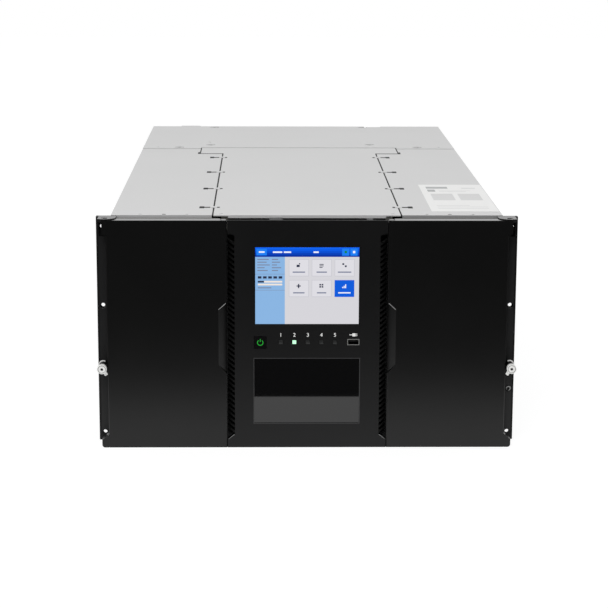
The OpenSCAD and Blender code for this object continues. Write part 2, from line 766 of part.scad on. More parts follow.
// Carriage plate on four bearing blocks, with the bearing that the picker turns in
module robot_carriage() {
    plate_z = [25, 27.5];
    color("steelblue") from_door() translate([0, robot_y, 0]) difference() {
        union() {
            span([-72, 72], [-46, 46], plate_z);
            for (x = [-rod_x, rod_x], y = [-44, 22])
                span([x - 9, x + 9], [y, y + 22], [18, plate_z[0] + 0.1]);
            span([-34, -10], [-20, 20], [17.5, plate_z[0] + 0.1]);
        }
        for (x = [-rod_x, rod_x])
            translate([x, -60, rod_z]) rod_y(rod_r + 0.05, 120);
        translate([0, 0, 10]) cylinder(r = 6.05, h = 30);
        for (a = [60 : 60 : 300]) rotate([0, 0, a]) translate([36, 0, 20]) cylinder(r = 6, h = 20);
    }
}

// Turntable and the channel that holds a cartridge, open towards the left magazine
module tape_picker() {
    wall = 2.5;
    length = picker_l / 2;
    top_z = picker_z + 1.5 + channel_h;
    out = channel_w / 2 + wall;
    color("dimgray") from_door() translate([0, robot_y, 0]) difference() {
        union() {
            translate([0, 0, 27.7]) cylinder(r = 50, h = picker_z - 27.7 + 0.1);
            translate([0, 0, 20]) cylinder(r = 6, h = 9);
            span([-length, length], [-out, out], [picker_z, picker_z + 1.5]);
            for (side = [-1, 1]) mirror([0, side < 0 ? 1 : 0, 0])
                span([-length, length], [channel_w / 2, out], [picker_z, top_z]);
            span([length - wall, length], [-out, out], [picker_z, top_z]);
            span([-length, length], [-out, out], [top_z, top_z + 1.5]);
        }
        span([-length + 12, length - 22], [-34, 34], [top_z - 1, top_z + 3]);
        span([-length - 1, -length + 5], [-channel_w / 2, channel_w / 2], [top_z - 1, top_z + 3]);
    }
}

// Sliding block with two long fingers that take a cartridge by its side notches
module tape_gripper() {
    front_x = 43;
    reach = 34;
    z = picker_z + 1.5;
    color("orange") from_door() translate([0, robot_y, 0]) {
        span([front_x, front_x + 20], [-50, 50], [z + 1, z + channel_h - 1.5]);
        for (side = [-1, 1]) mirror([0, side < 0 ? 1 : 0, 0]) {
            span([front_x - reach, front_x + 14], [51.4, 53.2], [z + 6, z + 15]);
            span([front_x + 2, front_x + 14], [50, 51.4], [z + 4, z + 17]);
            span([front_x - reach, front_x - reach + 4], [50.2, 51.4], [z + 6, z + 15]);
        }
    }
}

// ---------------------------------------------------------------- drives

// Walls and rails of the drive bay, and the bulkheads behind the magazines
module bay_walls() {
    color("darkgray") from_door() for (side = [-1, 1]) on_side(side) {
        span([bay_x, bay_x + sheet], [drive_y, panel_y], [sheet, wall_top]);
        for (k = [0 : drives - 1])
            span([bay_x - 7, bay_x], [drive_y, panel_y],
                 [drive_z + k * drive_pitch - 1.5, drive_z + k * drive_pitch - gap]);
        span([seam_x, wall_in], [600, 600 + sheet], [2 * sheet, wall_top - sheet]);
    }
}

// Case with an open front, a faceplate at the rear and a front plate with the mouth
module tape_drive(k) {
    z = drive_z + k * drive_pitch;
    case_x = [-drive_w / 2, drive_w / 2];
    lip = 3;
    color("silver") from_door() translate([0, 0, z]) {
        difference() {
            union() {
                span(case_x, [drive_y + lip, face_y + 0.5], [0, drive_h]);
                span([-94, 94], [face_y, body_d], [-0.5, drive_h + 0.6]);
            }
            span([case_x[0] + 1.2, case_x[1] - 1.2], [drive_y - 1, drive_y + 205], [1.2, drive_h - 1.2]);
            for (x = [-60 : 12 : 60], y = [drive_y + 40, drive_y + 90])
                span([x - 2, x + 2], [y, y + 34], [drive_h - 2, drive_h + 1]);
            // recesses in the rear face: fan grille, connectors and indicator
            for (x = [38 : 5 : 68])
                span([x, x + 2.6], [body_d - 8, body_d + 1], [6, drive_h - 6]);
            for (x = [-66, -36])
                span([x - 11.5, x + 11.5], [body_d - 3, body_d + 1], [14, 22]);
        }
        difference() {
            span(case_x, [drive_y, drive_y + lip], [0, drive_h]);
            span([-54, 54], [drive_y - 1, drive_y + lip + 1], [mouth_z - 12.4, mouth_z + 12.4]);
        }
    }
}

// Bail handle and two captive screws of one drive
module drive_handle(k) {
    z = drive_z + k * drive_pitch + drive_h / 2;
    color("royalblue") from_door() translate([0, body_d, z]) {
        difference() {
            span([-26, 26], [0, handle_reach], [-5, 5]);
            span([-21, 21], [-1, handle_reach - 5], [-6, 6]);
        }
        for (x = [-88, 88])
            translate([x, 0, 0]) rod_y(4.5, 11);
    }
}

// ---------------------------------------------------------------- power supplies and controller

inlet_x = 122;

module power_supply(k) {
    z = supply_z[k];
    color("silver") from_door() translate([0, 0, z]) difference() {
        union() {
            span(supply_x, [supply_y, face_y + 0.5], [1.5, supply_h - 1.5]);
            span([supply_x[0] - 3, supply_x[1] + 3], [face_y, body_d], [-0.5, supply_h + 0.5]);
        }
        span([supply_x[0] + 1.5, supply_x[1] - 1.5], [supply_y - 1, body_d - 60], [3, supply_h - 3]);
        translate([fan_x, body_d - 24, supply_h / 2]) difference() {
            rod_y(fan_r, 30);
            translate([0, -1, 0]) rod_y(2, 15);
        }
        // mains inlet
        span([inlet_x - 13.5, inlet_x + 13.5], [body_d - 18, body_d + 1], [8, 28]);
        for (y = [supply_y + 20 : 12 : supply_y + 160])
            span([supply_x[0] + 20, supply_x[1] - 20], [y, y + 5], [supply_h - 4, supply_h]);
    }
}

// Pull tab and fan guard of one power supply
module supply_fittings(k) {
    z = supply_z[k];
    color("dimgray") from_door() translate([0, body_d, z]) {
        span([108, 136], [0, handle_reach], [42, 46]);
        span([108, 136], [handle_reach - 4, handle_reach], [42, 54]);
        translate([fan_x, 0, supply_h / 2]) {
            for (r = [9, 16, 23, 30]) difference() {
                rod_y(r, 1.4);
                translate([0, -1, 0]) rod_y(r - 1.4, 4);
            }
            rod_y(3, 1.4);
            for (a = [45, 135, 225, 315]) rotate([0, a, 0])
                span([2.9, 29], [0.2, 1.3], [-0.7, 0.7]);
        }
    }
}

module supply_fan(k) {
    blades = 7;
    depth = 14;
    color("black") from_door() translate([fan_x, body_d - 20, supply_z[k] + supply_h / 2])
        intersection() {
            difference() {
                union() {
                    rod_y(9, depth);
                    for (i = [0 : blades - 1]) rotate([0, i * 360 / blades, 0])
                        translate([8, depth / 2, 0]) rotate([38, 0, 0])
                            translate([0, -9, -0.7]) cube([17.4, 18, 1.4]);
                }
                translate([0, -1, 0]) rod_y(2.06, 13);
            }
            rod_y(25.6, depth);
        }
}

module library_controller() {
    color("silver") from_door() difference() {
        union() {
            span([-supply_x[1] + 3, -supply_x[0] - 3], [700, face_y + 0.5],
                 [controller_z[0] + 2, controller_z[1] - 2]);
            span([-supply_x[1] - 3, -supply_x[0] + 3], [face_y, body_d],
                 [controller_z[0] - 0.5, controller_z[1] + 0.5]);
        }
        span([-supply_x[1] + 4.5, -supply_x[0] - 4.5], [699, body_d - 30],
             [controller_z[0] + 4, controller_z[1] - 4]);
        for (z = jack_z)
            span([jack_x - 8.3, jack_x + 8.3], [body_d - 18, body_d + 1], [z - 7.3, z + 7.3]);
        span([-150, -112], [body_d - 2, body_d + 1], [28, 40]);
    }
}

// Two network jacks, an expansion connector and the captive screws
module controller_ports() {
    color("gainsboro") from_door() {
        for (z = jack_z) translate([jack_x, body_d - 18, z]) difference() {
            span([-8, 8], [0, 18.4], [-7, 7]);
            span([-6, 6], [4, 20], [-4.4, 4.4]);
        }
        // dust cover of the upper jack
        translate([jack_x, body_d - 14, jack_z[1]]) span([-5.9, 5.9], [0.1, 16], [-4.3, 4.3]);
        span([-149, -113], [body_d - 2, body_d + 1.5], [29, 39]);
        for (x = [-208, -108]) translate([x, body_d, controller_z[1] - 8]) rod_y(4.5, 11);
    }
}

floor_pan();
side_panel(-1);  // left_side_panel
side_panel(1);  // right_side_panel
front_frame();
rear_panel();
side_cover(-1);  // left_top_cover
side_cover(1);  // right_top_cover
centre_top_cover();
rear_top_cover();
rack_ears();
ear_trims();
cover_screws();
centre_bezel();
vent_louvres();
touch_screen();
view_window();
status_lights();
usb_socket();
magazine_runners();
lift_racks();
bay_walls();
library_controller();
controller_ports();
power_button();
thumbscrew(-1);  // left_thumbscrew
thumbscrew(1);  // right_thumbscrew
door(-1);  // left_door
magazine_frame(-1);  // left_magazine_frame
magazine_trays(-1);  // left_magazine_trays
magazine_dividers(-1);  // left_magazine_dividers
tape_springs(-1);  // left_tape_springs
door(1);  // right_door
magazine_frame(1);  // right_magazine_frame
magazine_trays(1);  // right_magazine_trays
magazine_dividers(1);  // right_magazine_dividers
tape_springs(1);  // right_tape_springs
for (k = [1 : drives]) {
    tape_drive(k - 1);
    drive_handle(k - 1);
}
for (k = [1, 2]) {
    power_supply(k - 1);
    supply_fittings(k - 1);
    supply_fan(k - 1);
}
robot_platform();
lift_shaft(shaft_y[0]);  // front_lift_shaft
lift_shaft(shaft_y[1]);  // rear_lift_shaft
robot_carriage();
tape_picker();
tape_gripper();
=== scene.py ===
"""Looks of a rack-mount data tape library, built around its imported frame."""

import logging
import math
from dataclasses import dataclass, field, replace
from enum import Enum
from typing import Callable, Sequence

import bmesh
import bpy
from mathutils import Matrix, Vector


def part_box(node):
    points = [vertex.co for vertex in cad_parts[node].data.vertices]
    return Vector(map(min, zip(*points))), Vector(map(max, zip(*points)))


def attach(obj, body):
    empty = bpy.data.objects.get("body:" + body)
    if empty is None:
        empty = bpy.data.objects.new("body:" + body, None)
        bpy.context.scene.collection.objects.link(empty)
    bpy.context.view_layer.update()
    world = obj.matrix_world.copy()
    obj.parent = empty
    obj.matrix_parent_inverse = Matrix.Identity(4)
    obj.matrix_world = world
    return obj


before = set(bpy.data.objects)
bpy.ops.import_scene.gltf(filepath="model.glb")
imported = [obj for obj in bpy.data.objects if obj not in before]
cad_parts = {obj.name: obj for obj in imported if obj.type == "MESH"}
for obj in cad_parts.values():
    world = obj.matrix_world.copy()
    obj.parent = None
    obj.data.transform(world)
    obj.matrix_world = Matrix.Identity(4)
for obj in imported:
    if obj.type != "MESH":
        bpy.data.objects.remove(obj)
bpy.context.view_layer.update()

MM = 0.001
LOG = logging.getLogger("tape_library")

Colour = tuple[float, float, float, float]
Box = tuple[Sequence[float], Sequence[float]]   # lowest and highest corner, metres
Reach = tuple[tuple[float, ...], ...]           # where something starts and ends
FaceTest = Callable[[bmesh.types.BMFace], bool]
Piece = bpy.types.Object
Tree = bpy.types.NodeTree
Socket = bpy.types.NodeSocket

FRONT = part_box("left_door")[0].y                # the doors' face, from which depths are counted
BEZEL_LOW, BEZEL_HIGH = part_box("centre_bezel")
SIDES = {"left": -1, "right": 1}
CASE_FOOT = 0.5 * MM                            # from the foot of a rear module's box to its case
PRINT = 0.05 * MM                               # thickness of a printed mark
ALIGNED = 0.95                                  # least cosine of a face that looks along a direction
SMOOTH_BELOW = math.radians(35)                 # flatter edges are shaded smooth


class Pattern(Enum):
    """How a surface was made, which decides the detail its material carries."""

    MOULDED = "moulded"        # fine spark-eroded texture of an injection mould
    COATED = "coated"          # orange peel of a powder or coil coating
    BRUSHED = "brushed"        # long scratches along one axis
    SPANGLE = "spangle"        # zinc crystals of galvanised sheet
    TURNED = "turned"          # fine rings and tool marks of a machined bar
    SMOOTH = "smooth"          # glass and polished mouldings


class Axis(Enum):
    """One of the three directions of the frame."""

    X = 0
    Y = 1
    Z = 2


# ---------------------------------------------------------------- materials


def linear(hex_colour: str, alpha: float = 1.0) -> Colour:
    """Turns an sRGB hex colour to linear.

    Args:
        hex_colour: Six hex digits, with or without a leading hash.
        alpha: Opacity to append.

    Returns:
        Red, green, blue and alpha, linear.
    """
    digits = hex_colour.lstrip("#")
    channels = [int(digits[i:i + 2], 16) / 255 for i in (0, 2, 4)]
    curve = [c / 12.92 if c <= 0.04045 else ((c + 0.055) / 1.055) ** 2.4 for c in channels]
    return curve[0], curve[1], curve[2], alpha


def add_node(
    tree: Tree, kind: str, inputs: dict[str | int, object] | None = None, **settings: object,
) -> bpy.types.Node:
    """Adds one node with its settings and its inputs.

    Args:
        tree: Node tree to add to.
        kind: Blender's node type.
        inputs: By name or number, a constant or the socket that feeds the input.
        settings: Attributes set on the node before its inputs.

    Returns:
        The new node.
    """
    node = tree.nodes.new(kind)
    for name, value in settings.items():
        setattr(node, name, value)
    for name, value in (inputs or {}).items():
        if isinstance(value, Socket):
            tree.links.new(value, node.inputs[name])
        else:
            node.inputs[name].default_value = value
    return node


BROAD = 90 * MM                     # length of the slow change of tone of handled sheet and mouldings
FINE_SHARE, BROAD_SHARE = 0.6, 0.4  # parts of the fine pattern and of the slow one in the tone
TONE_ENDS = 0.3, 0.7                # where the tone counts as darkest and palest
WEAR = 0.12                         # how far the roughness goes either way with the tone
SQUARE_ON = 0.9                     # least part of the normal along an axis that a face looks along
FIRST, SECOND, MIXED = 6, 7, 2      # a colour mix node's sockets, whose names its other types share


@dataclass(frozen=True)
class Finish:
    """A surface finish, from which one material is made.

    The pattern's size is a real one in millimetres, coarser where noted.
    """

    name: str
    colour: str
    roughness: float
    pattern: Pattern = Pattern.SMOOTH
    size_mm: float = 1.0
    depth_mm: float = 0.0
    shade: float = 0.06
    metallic: float = 0.0
    ior: float = 1.5
    coat: float = 0.0
    glow: str | None = None
    glow_strength: float = 1.0
    along: Axis = Axis.X
    top_gloss: float | None = None      # roughness of the faces that look up, where it differs
    painted_front_shade: str | None = None             # painted shade: colour of the faces that look to the front

    def material(self) -> bpy.types.Material:
        """Returns the finish's material, making it the first time."""
        made = bpy.data.materials.get(self.name)
        if made is not None and made.get("finish"):
            return made
        material = bpy.data.materials.new(self.name)
        material["finish"] = True
        material.use_nodes = True
        tree = material.node_tree
        tree.nodes.clear()
        shader = add_node(tree, "ShaderNodeBsdfPrincipled", {
            "Metallic": self.metallic,
            "Coat Weight": self.coat,
            "Coat Roughness": 0.04,
        })
        if not self.metallic:
            shader.inputs["IOR"].default_value = self.ior
        if self.glow is not None:
            shader.inputs["Emission Color"].default_value = linear(self.glow)
            shader.inputs["Emission Strength"].default_value = self.glow_strength
        self._surface(tree, shader)
        add_node(tree, "ShaderNodeOutputMaterial", {"Surface": shader.outputs["BSDF"]})
        return material

    def _surface(self, tree: Tree, shader: bpy.types.Node) -> None:
        """Feeds colour, roughness and relief from the finish's pattern.

        Args:
            tree: The material's node tree.
            shader: Its Principled node.
        """
        place = add_node(tree, "ShaderNodeTexCoord").outputs["Object"]
        fine = self._pattern(tree, place)
        broad = add_node(tree, "ShaderNodeTexNoise", {"Scale": 1 / BROAD, "Detail": 2.0, "Vector": place})
        share = add_node(tree, "ShaderNodeMath", {0: fine, 1: FINE_SHARE}, operation="MULTIPLY")
        sums = {0: broad.outputs["Fac"], 1: BROAD_SHARE, 2: share.outputs[0]}
        mixed = add_node(tree, "ShaderNodeMath", sums, operation="MULTIPLY_ADD").outputs[0]
        tone = linear(self.colour)[:3]
        low = (*(c * (1 - self.shade) for c in tone), 1.0)
        high = (*(min(1.0, c * (1 + self.shade)) for c in tone), 1.0)
        tones = {"Factor": mixed, FIRST: low, SECOND: high}
        base = add_node(tree, "ShaderNodeMix", tones, data_type="RGBA").outputs[MIXED]
        # painted shade: faces that look to the front take the darker colour
        if self.painted_front_shade is not None:
            ahead = self._looking(tree, "Y", "LESS_THAN", -SQUARE_ON)
            tones = {"Factor": ahead, FIRST: base, SECOND: linear(self.painted_front_shade)}
            base = add_node(tree, "ShaderNodeMix", tones, data_type="RGBA").outputs[MIXED]
        tree.links.new(base, shader.inputs["Base Color"])
        roughness = add_node(tree, "ShaderNodeMapRange", {
            "Value": mixed, "From Min": TONE_ENDS[0], "From Max": TONE_ENDS[1],
            "To Min": max(0.02, self.roughness * (1 - WEAR)), "To Max": min(1.0, self.roughness * (1 + WEAR)),
        }).outputs["Result"]
        if self.top_gloss is not None:
            upward = self._looking(tree, "Z", "GREATER_THAN", SQUARE_ON)
            values = {"Factor": upward, "A": roughness, "B": self.top_gloss}
            roughness = add_node(tree, "ShaderNodeMix", values, data_type="FLOAT").outputs[0]
        tree.links.new(roughness, shader.inputs["Roughness"])
        if self.depth_mm:
            grain = {"Distance": self.depth_mm * MM, "Strength": 1.0, "Height": fine}
            relief = add_node(tree, "ShaderNodeBump", grain)
            tree.links.new(relief.outputs["Normal"], shader.inputs["Normal"])

    @staticmethod
    def _looking(tree: Tree, axis: str, operation: str, limit: float) -> Socket:
        """Marks where the surface looks along an axis past a limit.

        Args:
            tree: The material's node tree.
            axis: Letter of the axis.
            operation: LESS_THAN or GREATER_THAN.
            limit: What the normal's part along the axis is held against.

        Returns:
            A socket that is 1 there and 0 elsewhere.
        """
        normal = add_node(tree, "ShaderNodeNewGeometry").outputs["Normal"]
        part = add_node(tree, "ShaderNodeSeparateXYZ", {"Vector": normal}).outputs[axis]
        return add_node(tree, "ShaderNodeMath", {0: part, 1: limit}, operation=operation).outputs[0]

    def _pattern(self, tree: Tree, place: Socket) -> Socket:
        """Builds the fine pattern.

        Args:
            tree: The material's node tree.
            place: Object coordinates.

        Returns:
            A socket from 0 to 1.
        """
        scale = 1 / (self.size_mm * MM)
        if self.pattern is Pattern.SPANGLE:
            cells = add_node(tree, "ShaderNodeTexVoronoi", {"Scale": scale, "Vector": place})
            return add_node(tree, "ShaderNodeSeparateColor", {"Color": cells.outputs["Color"]}).outputs[0]
        if self.pattern in (Pattern.BRUSHED, Pattern.TURNED):
            stretch = [1.0, 1.0, 1.0]
            stretch[self.along.value] = 0.03
            place = add_node(tree, "ShaderNodeMapping", {"Scale": stretch, "Vector": place}).outputs["Vector"]
        detail = 5.0 if self.pattern is Pattern.MOULDED else 3.0
        noise = add_node(tree, "ShaderNodeTexNoise", {"Scale": scale, "Detail": detail, "Vector": place})
        return noise.outputs["Fac"]


# Coil-coated steel: an even pale grey with faint orange peel
COVER_STEEL = Finish("coil_coated_steel", "#D0D0D0", 0.42, Pattern.COATED, 3.0, 0.02, 0.03)
# The side covers with painted shade: their faces that look to the front take a darker grey, the right one
# darker still
LEFT_COVER_PAINTED_SHADE = replace(COVER_STEEL, name="coil_coated_steel_left_painted_shade", painted_front_shade="#BCBCBC")
RIGHT_COVER_PAINTED_SHADE = replace(COVER_STEEL, name="coil_coated_steel_right_painted_shade", painted_front_shade="#9C9C9C")
# Galvanised steel: grey zinc whose crystals each reflect a little differently
ZINC_STEEL = Finish("galvanised_steel", "#A9ABAD", 0.38, Pattern.SPANGLE, 7.0, 0.0, 0.10, 0.85)
# Zinc-plated inner steel, a little duller than the panels
INNER_STEEL = Finish("plated_inner_steel", "#9DA0A2", 0.42, Pattern.BRUSHED, 0.8, 0.01, 0.08, 0.85,
                     along=Axis.Y)
# Dark phosphated steel of the front frame: dull, and black wherever it is in shade
FRAME_STEEL = Finish("phosphated_steel", "#3C3D3E", 0.6, Pattern.COATED, 2.0, 0.02, 0.06)
# Powder coat: near black, with a visible orange peel
POWDER_BLACK = Finish("black_powder_coat", "#080809", 0.60, Pattern.COATED, 1.2, 0.05, 0.10, ior=1.42)
# ABS from a spark-eroded mould: satin black; the texture is drawn at 1.5 mm so that it shows.
# The doors' top edges come from the polished parting face of the mould
DOOR_ABS = Finish("satin_black_abs", "#090909", 0.34, Pattern.MOULDED, 1.5, 0.008, 0.12,
                  ior=1.44, top_gloss=0.13)
BEZEL_ABS = Finish("textured_black_abs", "#080809", 0.50, Pattern.MOULDED, 1.2, 0.02, 0.14, ior=1.41)
# Painted shade: black ABS drawn darker and duller than the bezel, for the louvres deep in their channel and
# for screw sockets
DEEP_SHADE_ABS = Finish("black_abs_painted_deep_shade", "#040404", 0.75, Pattern.MOULDED, 1.2, 0.02, 0.12, ior=1.35)
# Glass-filled nylon: black, dull, slightly grainy
BLACK_NYLON = Finish("glass_filled_nylon", "#0E0E0F", 0.55, Pattern.MOULDED, 1.0, 0.03, 0.15, top_gloss=0.24)
# Cover glass of the screen, black behind its border
BORDER_GLASS = Finish("printed_border_glass", "#060607", 0.08, Pattern.SMOOTH, 30.0, 0.0, 0.05, coat=0.4)
# Tinted acrylic: almost black, mirror smooth, lets a little light through
TINTED_ACRYLIC = Finish("tinted_acrylic", "#020203", 0.03, Pattern.SMOOTH, 60.0, 0.0, 0.05,
                        ior=1.49, coat=0.5)
# Unlit light pipe: grey diffusing polycarbonate
LIGHT_PIPE = Finish("diffusing_polycarbonate", "#242525", 0.35, Pattern.MOULDED, 0.8, 0.01, 0.08, ior=1.58)
LIT_PIPE = Finish("lit_green_polycarbonate", "#9FD9B4", 0.35, Pattern.MOULDED, 0.8, 0.01, 0.04, ior=1.58,
                  glow="#B9F5CB", glow_strength=0.75)
# Nickel plate of the knurled knobs: pale, and drawn near white and almost without metal as a painted
# highlight for the lamps' reflection
NICKEL_PAINTED_HIGHLIGHT = Finish("nickel_knob_painted_highlight", "#F2F2F0", 0.5, Pattern.TURNED, 0.5, 0.004, 0.04, 0.05,
                      along=Axis.Y)
# Nickel plate on drawn steel
NICKEL = Finish("nickel_plated_steel", "#C9C8C5", 0.24, Pattern.TURNED, 0.5, 0.004, 0.05, 1.0, along=Axis.Y)
# Painted shade: dark grey blind rivets that darken the dimples
RIVET_PAINTED_SHADE = Finish("rivet_painted_shade", "#2B2B2B", 0.5, Pattern.TURNED, 0.5, 0.004, 0.06, 0.4)
# Tin plate of the socket's flange: pale and dull
TIN_PLATE = Finish("tin_plated_flange", "#8C8C8A", 0.45, Pattern.BRUSHED, 0.6, 0.004, 0.05, 0.2, along=Axis.X)
# Liquid-crystal polymer that the socket's contacts are moulded in
SOCKET_LCP = Finish("black_lcp_insulator", "#050505", 0.6, Pattern.MOULDED, 0.6, 0.01, 0.1, ior=1.4)
# Painted highlight: pale rods laid along edges that catch the light
EDGE_HIGHLIGHT = Finish("painted_edge_highlight", "#8E8E8E", 0.40, Pattern.MOULDED, 0.8, 0.006, 0.08)
# Rim of the window: dull dark grey, lighter than the bezel as a painted highlight along the window's edge
RIM_HIGHLIGHT_GREY = Finish("window_rim_painted_highlight", "#333334", 0.5, Pattern.MOULDED, 0.8, 0.006, 0.08)
# Painted shade: dull mid grey in the turned groove of the knob
GROOVE_PAINTED_SHADE = Finish("knob_groove_painted_shade", "#7C7C7A", 0.6, Pattern.TURNED, 0.5, 0.004, 0.06, along=Axis.Y)
# Nickelled connector shells in the shade of the rear: darker and brushed along their depth
DARK_NICKEL = Finish("dark_nickel_shell", "#8C8C8B", 0.30, Pattern.BRUSHED, 0.6, 0.004, 0.06, 1.0,
                     along=Axis.Y)
# Zinc-plated screws: bluish grey and fairly bright
ZINC_SCREW = Finish("zinc_plated_screw", "#A8A9A8", 0.32, Pattern.TURNED, 0.5, 0.004, 0.06, 1.0)
# Machined and anodised aluminium of the robot's beams and the drives' cases
ALUMINIUM = Finish("milled_aluminium", "#B4B6B8", 0.34, Pattern.BRUSHED, 0.7, 0.006, 0.05, 1.0, along=Axis.Y)
# Plated case sheet of drives and supplies: soft bright grey with long scratches across
CASE_ALUMINIUM = Finish("plated_case_sheet", "#B0B1B2", 0.36, Pattern.BRUSHED, 0.9, 0.006, 0.05, 0.9,
                        along=Axis.X)
# Bare spring steel: bright, slightly warm strips
SPRING_STEEL = Finish("spring_steel", "#B8B7B2", 0.28, Pattern.BRUSHED, 0.5, 0.004, 0.05, 1.0, along=Axis.Z)
# Acetal: white, waxy, slightly translucent
ACETAL = Finish("acetal", "#E2E0D8", 0.38, Pattern.MOULDED, 1.0, 0.01, 0.03, ior=1.48)
# Moulded ABS of the trays and dividers: even dark grey
TRAY_ABS = Finish("dark_grey_abs", "#3B3C3E", 0.48, Pattern.MOULDED, 1.0, 0.02, 0.07)
# Moulded ABS of the picker: even mid grey
PICKER_ABS = Finish("grey_abs", "#56585A", 0.45, Pattern.MOULDED, 1.0, 0.02, 0.06)
# Blue nylon of the pull handles: the colour of parts that a hand may touch
BLUE_NYLON = Finish("blue_nylon", "#1F4A8C", 0.42, Pattern.MOULDED, 1.0, 0.02, 0.07)
# Moulded polyester of fans and inlets: satin near black
FAN_PBT = Finish("black_pbt", "#1B1B1C", 0.45, Pattern.MOULDED, 0.9, 0.01, 0.1)
# Translucent ink lit from behind: an even, quiet green
GREEN_INK = Finish("green_backlit_ink", "#0E5A1A", 0.4, Pattern.SMOOTH, 2.0, 0.0, 0.04,
                   glow="#18A62C", glow_strength=0.75)
# Pad-printed white: opaque, dull and slightly raised
WHITE_INK = Finish("white_pad_print", "#F2F2F0", 0.5, Pattern.COATED, 0.6, 0.004, 0.03)
# Polyester film of the label: clean white with a faint gloss
LABEL_FILM = Finish("white_polyester_label", "#EDEDEC", 0.35, Pattern.COATED, 1.5, 0.004, 0.015)
# Inks printed on the label: flat mid grey and pale grey
LABEL_GREY = Finish("grey_label_ink", "#A7A9AA", 0.45, Pattern.COATED, 0.6, 0.0, 0.04)
LABEL_PALE = Finish("pale_label_ink", "#D5D5D5", 0.45, Pattern.COATED, 0.6, 0.0, 0.03)
# Oiled steel in a deep recess, where hardly any light comes back
DARK_RECESS = Finish("shadowed_recess", "#1A1A1A", 0.7, Pattern.MOULDED, 0.6, 0.0, 0.1)
# Painted shade: dull black foam laid in the covers' slots and seams and at the foot of the bezel's gaps,
# where they show only shade
FOAM_PAINTED_SHADE = Finish("black_foam_painted_shade", "#161616", 0.85, Pattern.MOULDED, 0.8, 0.05, 0.15)


def lit_ink(name: str, colour: str) -> Finish:
    """Returns a finish for one colour of the backlit display, which shines with it."""
    return Finish(name, "#000000", 0.25, Pattern.SMOOTH, 5.0, 0.0, 0.0, glow=colour, glow_strength=1.0)


class ScreenInk(Enum):
    """Colours that the display shows."""

    BAR_1 = lit_ink("display_bar_blue_1", "#0B63F3")
    BAR_2 = lit_ink("display_bar_blue_2", "#0659E4")
    BAR_3 = lit_ink("display_bar_blue_3", "#044DD0")
    BAR_4 = lit_ink("display_bar_blue_4", "#033FB8")
    BAR_5 = lit_ink("display_bar_blue_5", "#0031A1")
    TILE = lit_ink("display_tile_blue", "#1D80F4")
    SIDE = lit_ink("display_side_blue", "#8AB5E2")
    PAGE = lit_ink("display_page_grey", "#D6D5DA")
    BUTTON = lit_ink("display_button_grey", "#DEDDE3")
    EDGE = lit_ink("display_edge_grey", "#BDBDC6")
    INK = lit_ink("display_ink", "#2B3148")
    FAINT = lit_ink("display_faint_ink", "#7C8299")
    CHOSEN = lit_ink("display_chosen_blue", "#0C5CDB")
    LIGHT = lit_ink("display_light", "#F2F5FF")
    GREEN = lit_ink("display_green", "#15803A")
    CREAM = lit_ink("display_cream", "#F0E6DC")


# ---------------------------------------------------------------- modelling


def leave_edit_mode() -> None:
    """Goes back to object mode if an object is being edited."""
    active = bpy.context.view_layer.objects.active
    if active is not None and active.mode != "OBJECT":
        bpy.ops.object.mode_set(mode="OBJECT")


def deselect_all() -> None:
    """Leaves nothing selected and nothing active."""
    leave_edit_mode()
    bpy.ops.object.select_all(action="DESELECT")
    bpy.context.view_layer.objects.active = None


def choose(piece: Piece) -> None:
    """Makes one piece the only selected and the active one.

    Args:
        piece: The piece.
    """
    deselect_all()
    piece.select_set(True)
    bpy.context.view_layer.objects.active = piece


def middle(node: str) -> Vector:
    """Returns the middle of a CAD node's box."""
    low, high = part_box(node)
    return (low + high) / 2


def take(name: str) -> Piece:
    """Names the object that was just added, and moves its place, turn and size into its mesh.

    Args:
        name: Name of the piece.

    Returns:
        The object.
    """
    piece = bpy.context.object
    piece.name = name
    choose(piece)
    bpy.ops.object.transform_apply(location=True, rotation=True, scale=True)
    return piece


def block(name: str, low: Sequence[float], high: Sequence[float]) -> Piece:
    """Adds a box as the start of a piece.

    Args:
        name: Name of the piece.
        low: Lowest corner, metres.
        high: Highest corner, metres.

    Returns:
        The new object, its place in its mesh.
    """
    deselect_all()
    low_v, high_v = Vector(low), Vector(high)
    bpy.ops.mesh.primitive_cube_add(size=1.0, location=(low_v + high_v) / 2)
    bpy.context.object.scale = high_v - low_v
    return take(name)


def disc(
    name: str, centre: Sequence[float], radius: float, length: float, along: Axis, sides: int = 32,
) -> Piece:
    """Adds a round bar as the start of a piece.

    Args:
        name: Name of the piece.
        centre: Middle of the bar, metres.
        radius: Its radius.
        length: Its length.
        along: The direction of its axis.
        sides: Facets round it.

    Returns:
        The new object, its place in its mesh.
    """
    deselect_all()
    turn = {Axis.X: (0, math.pi / 2, 0), Axis.Y: (math.pi / 2, 0, 0), Axis.Z: (0, 0, 0)}[along]
    bpy.ops.mesh.primitive_cylinder_add(
        vertices=sides, radius=radius, depth=length, location=centre, rotation=turn,
    )
    return take(name)


def rod(name: str, start: Sequence[float], end: Sequence[float], radius: float) -> Piece:
    """Adds a thin rod between two points, with rounded ends.

    Args:
        name: Name of the piece.
        start: One end, metres.
        end: The other end, metres.
        radius: Its radius.

    Returns:
        The new object, its place in its mesh.
    """
    deselect_all()
    way = Vector(end) - Vector(start)
    turn = way.to_track_quat("Z", "Y").to_euler()
    bpy.ops.mesh.primitive_cylinder_add(vertices=16, radius=radius, depth=way.length,
                                        location=(Vector(start) + Vector(end)) / 2, rotation=turn)
    piece = take(name)
    soften(piece, radius * 0.6, 2, 60)
    return piece


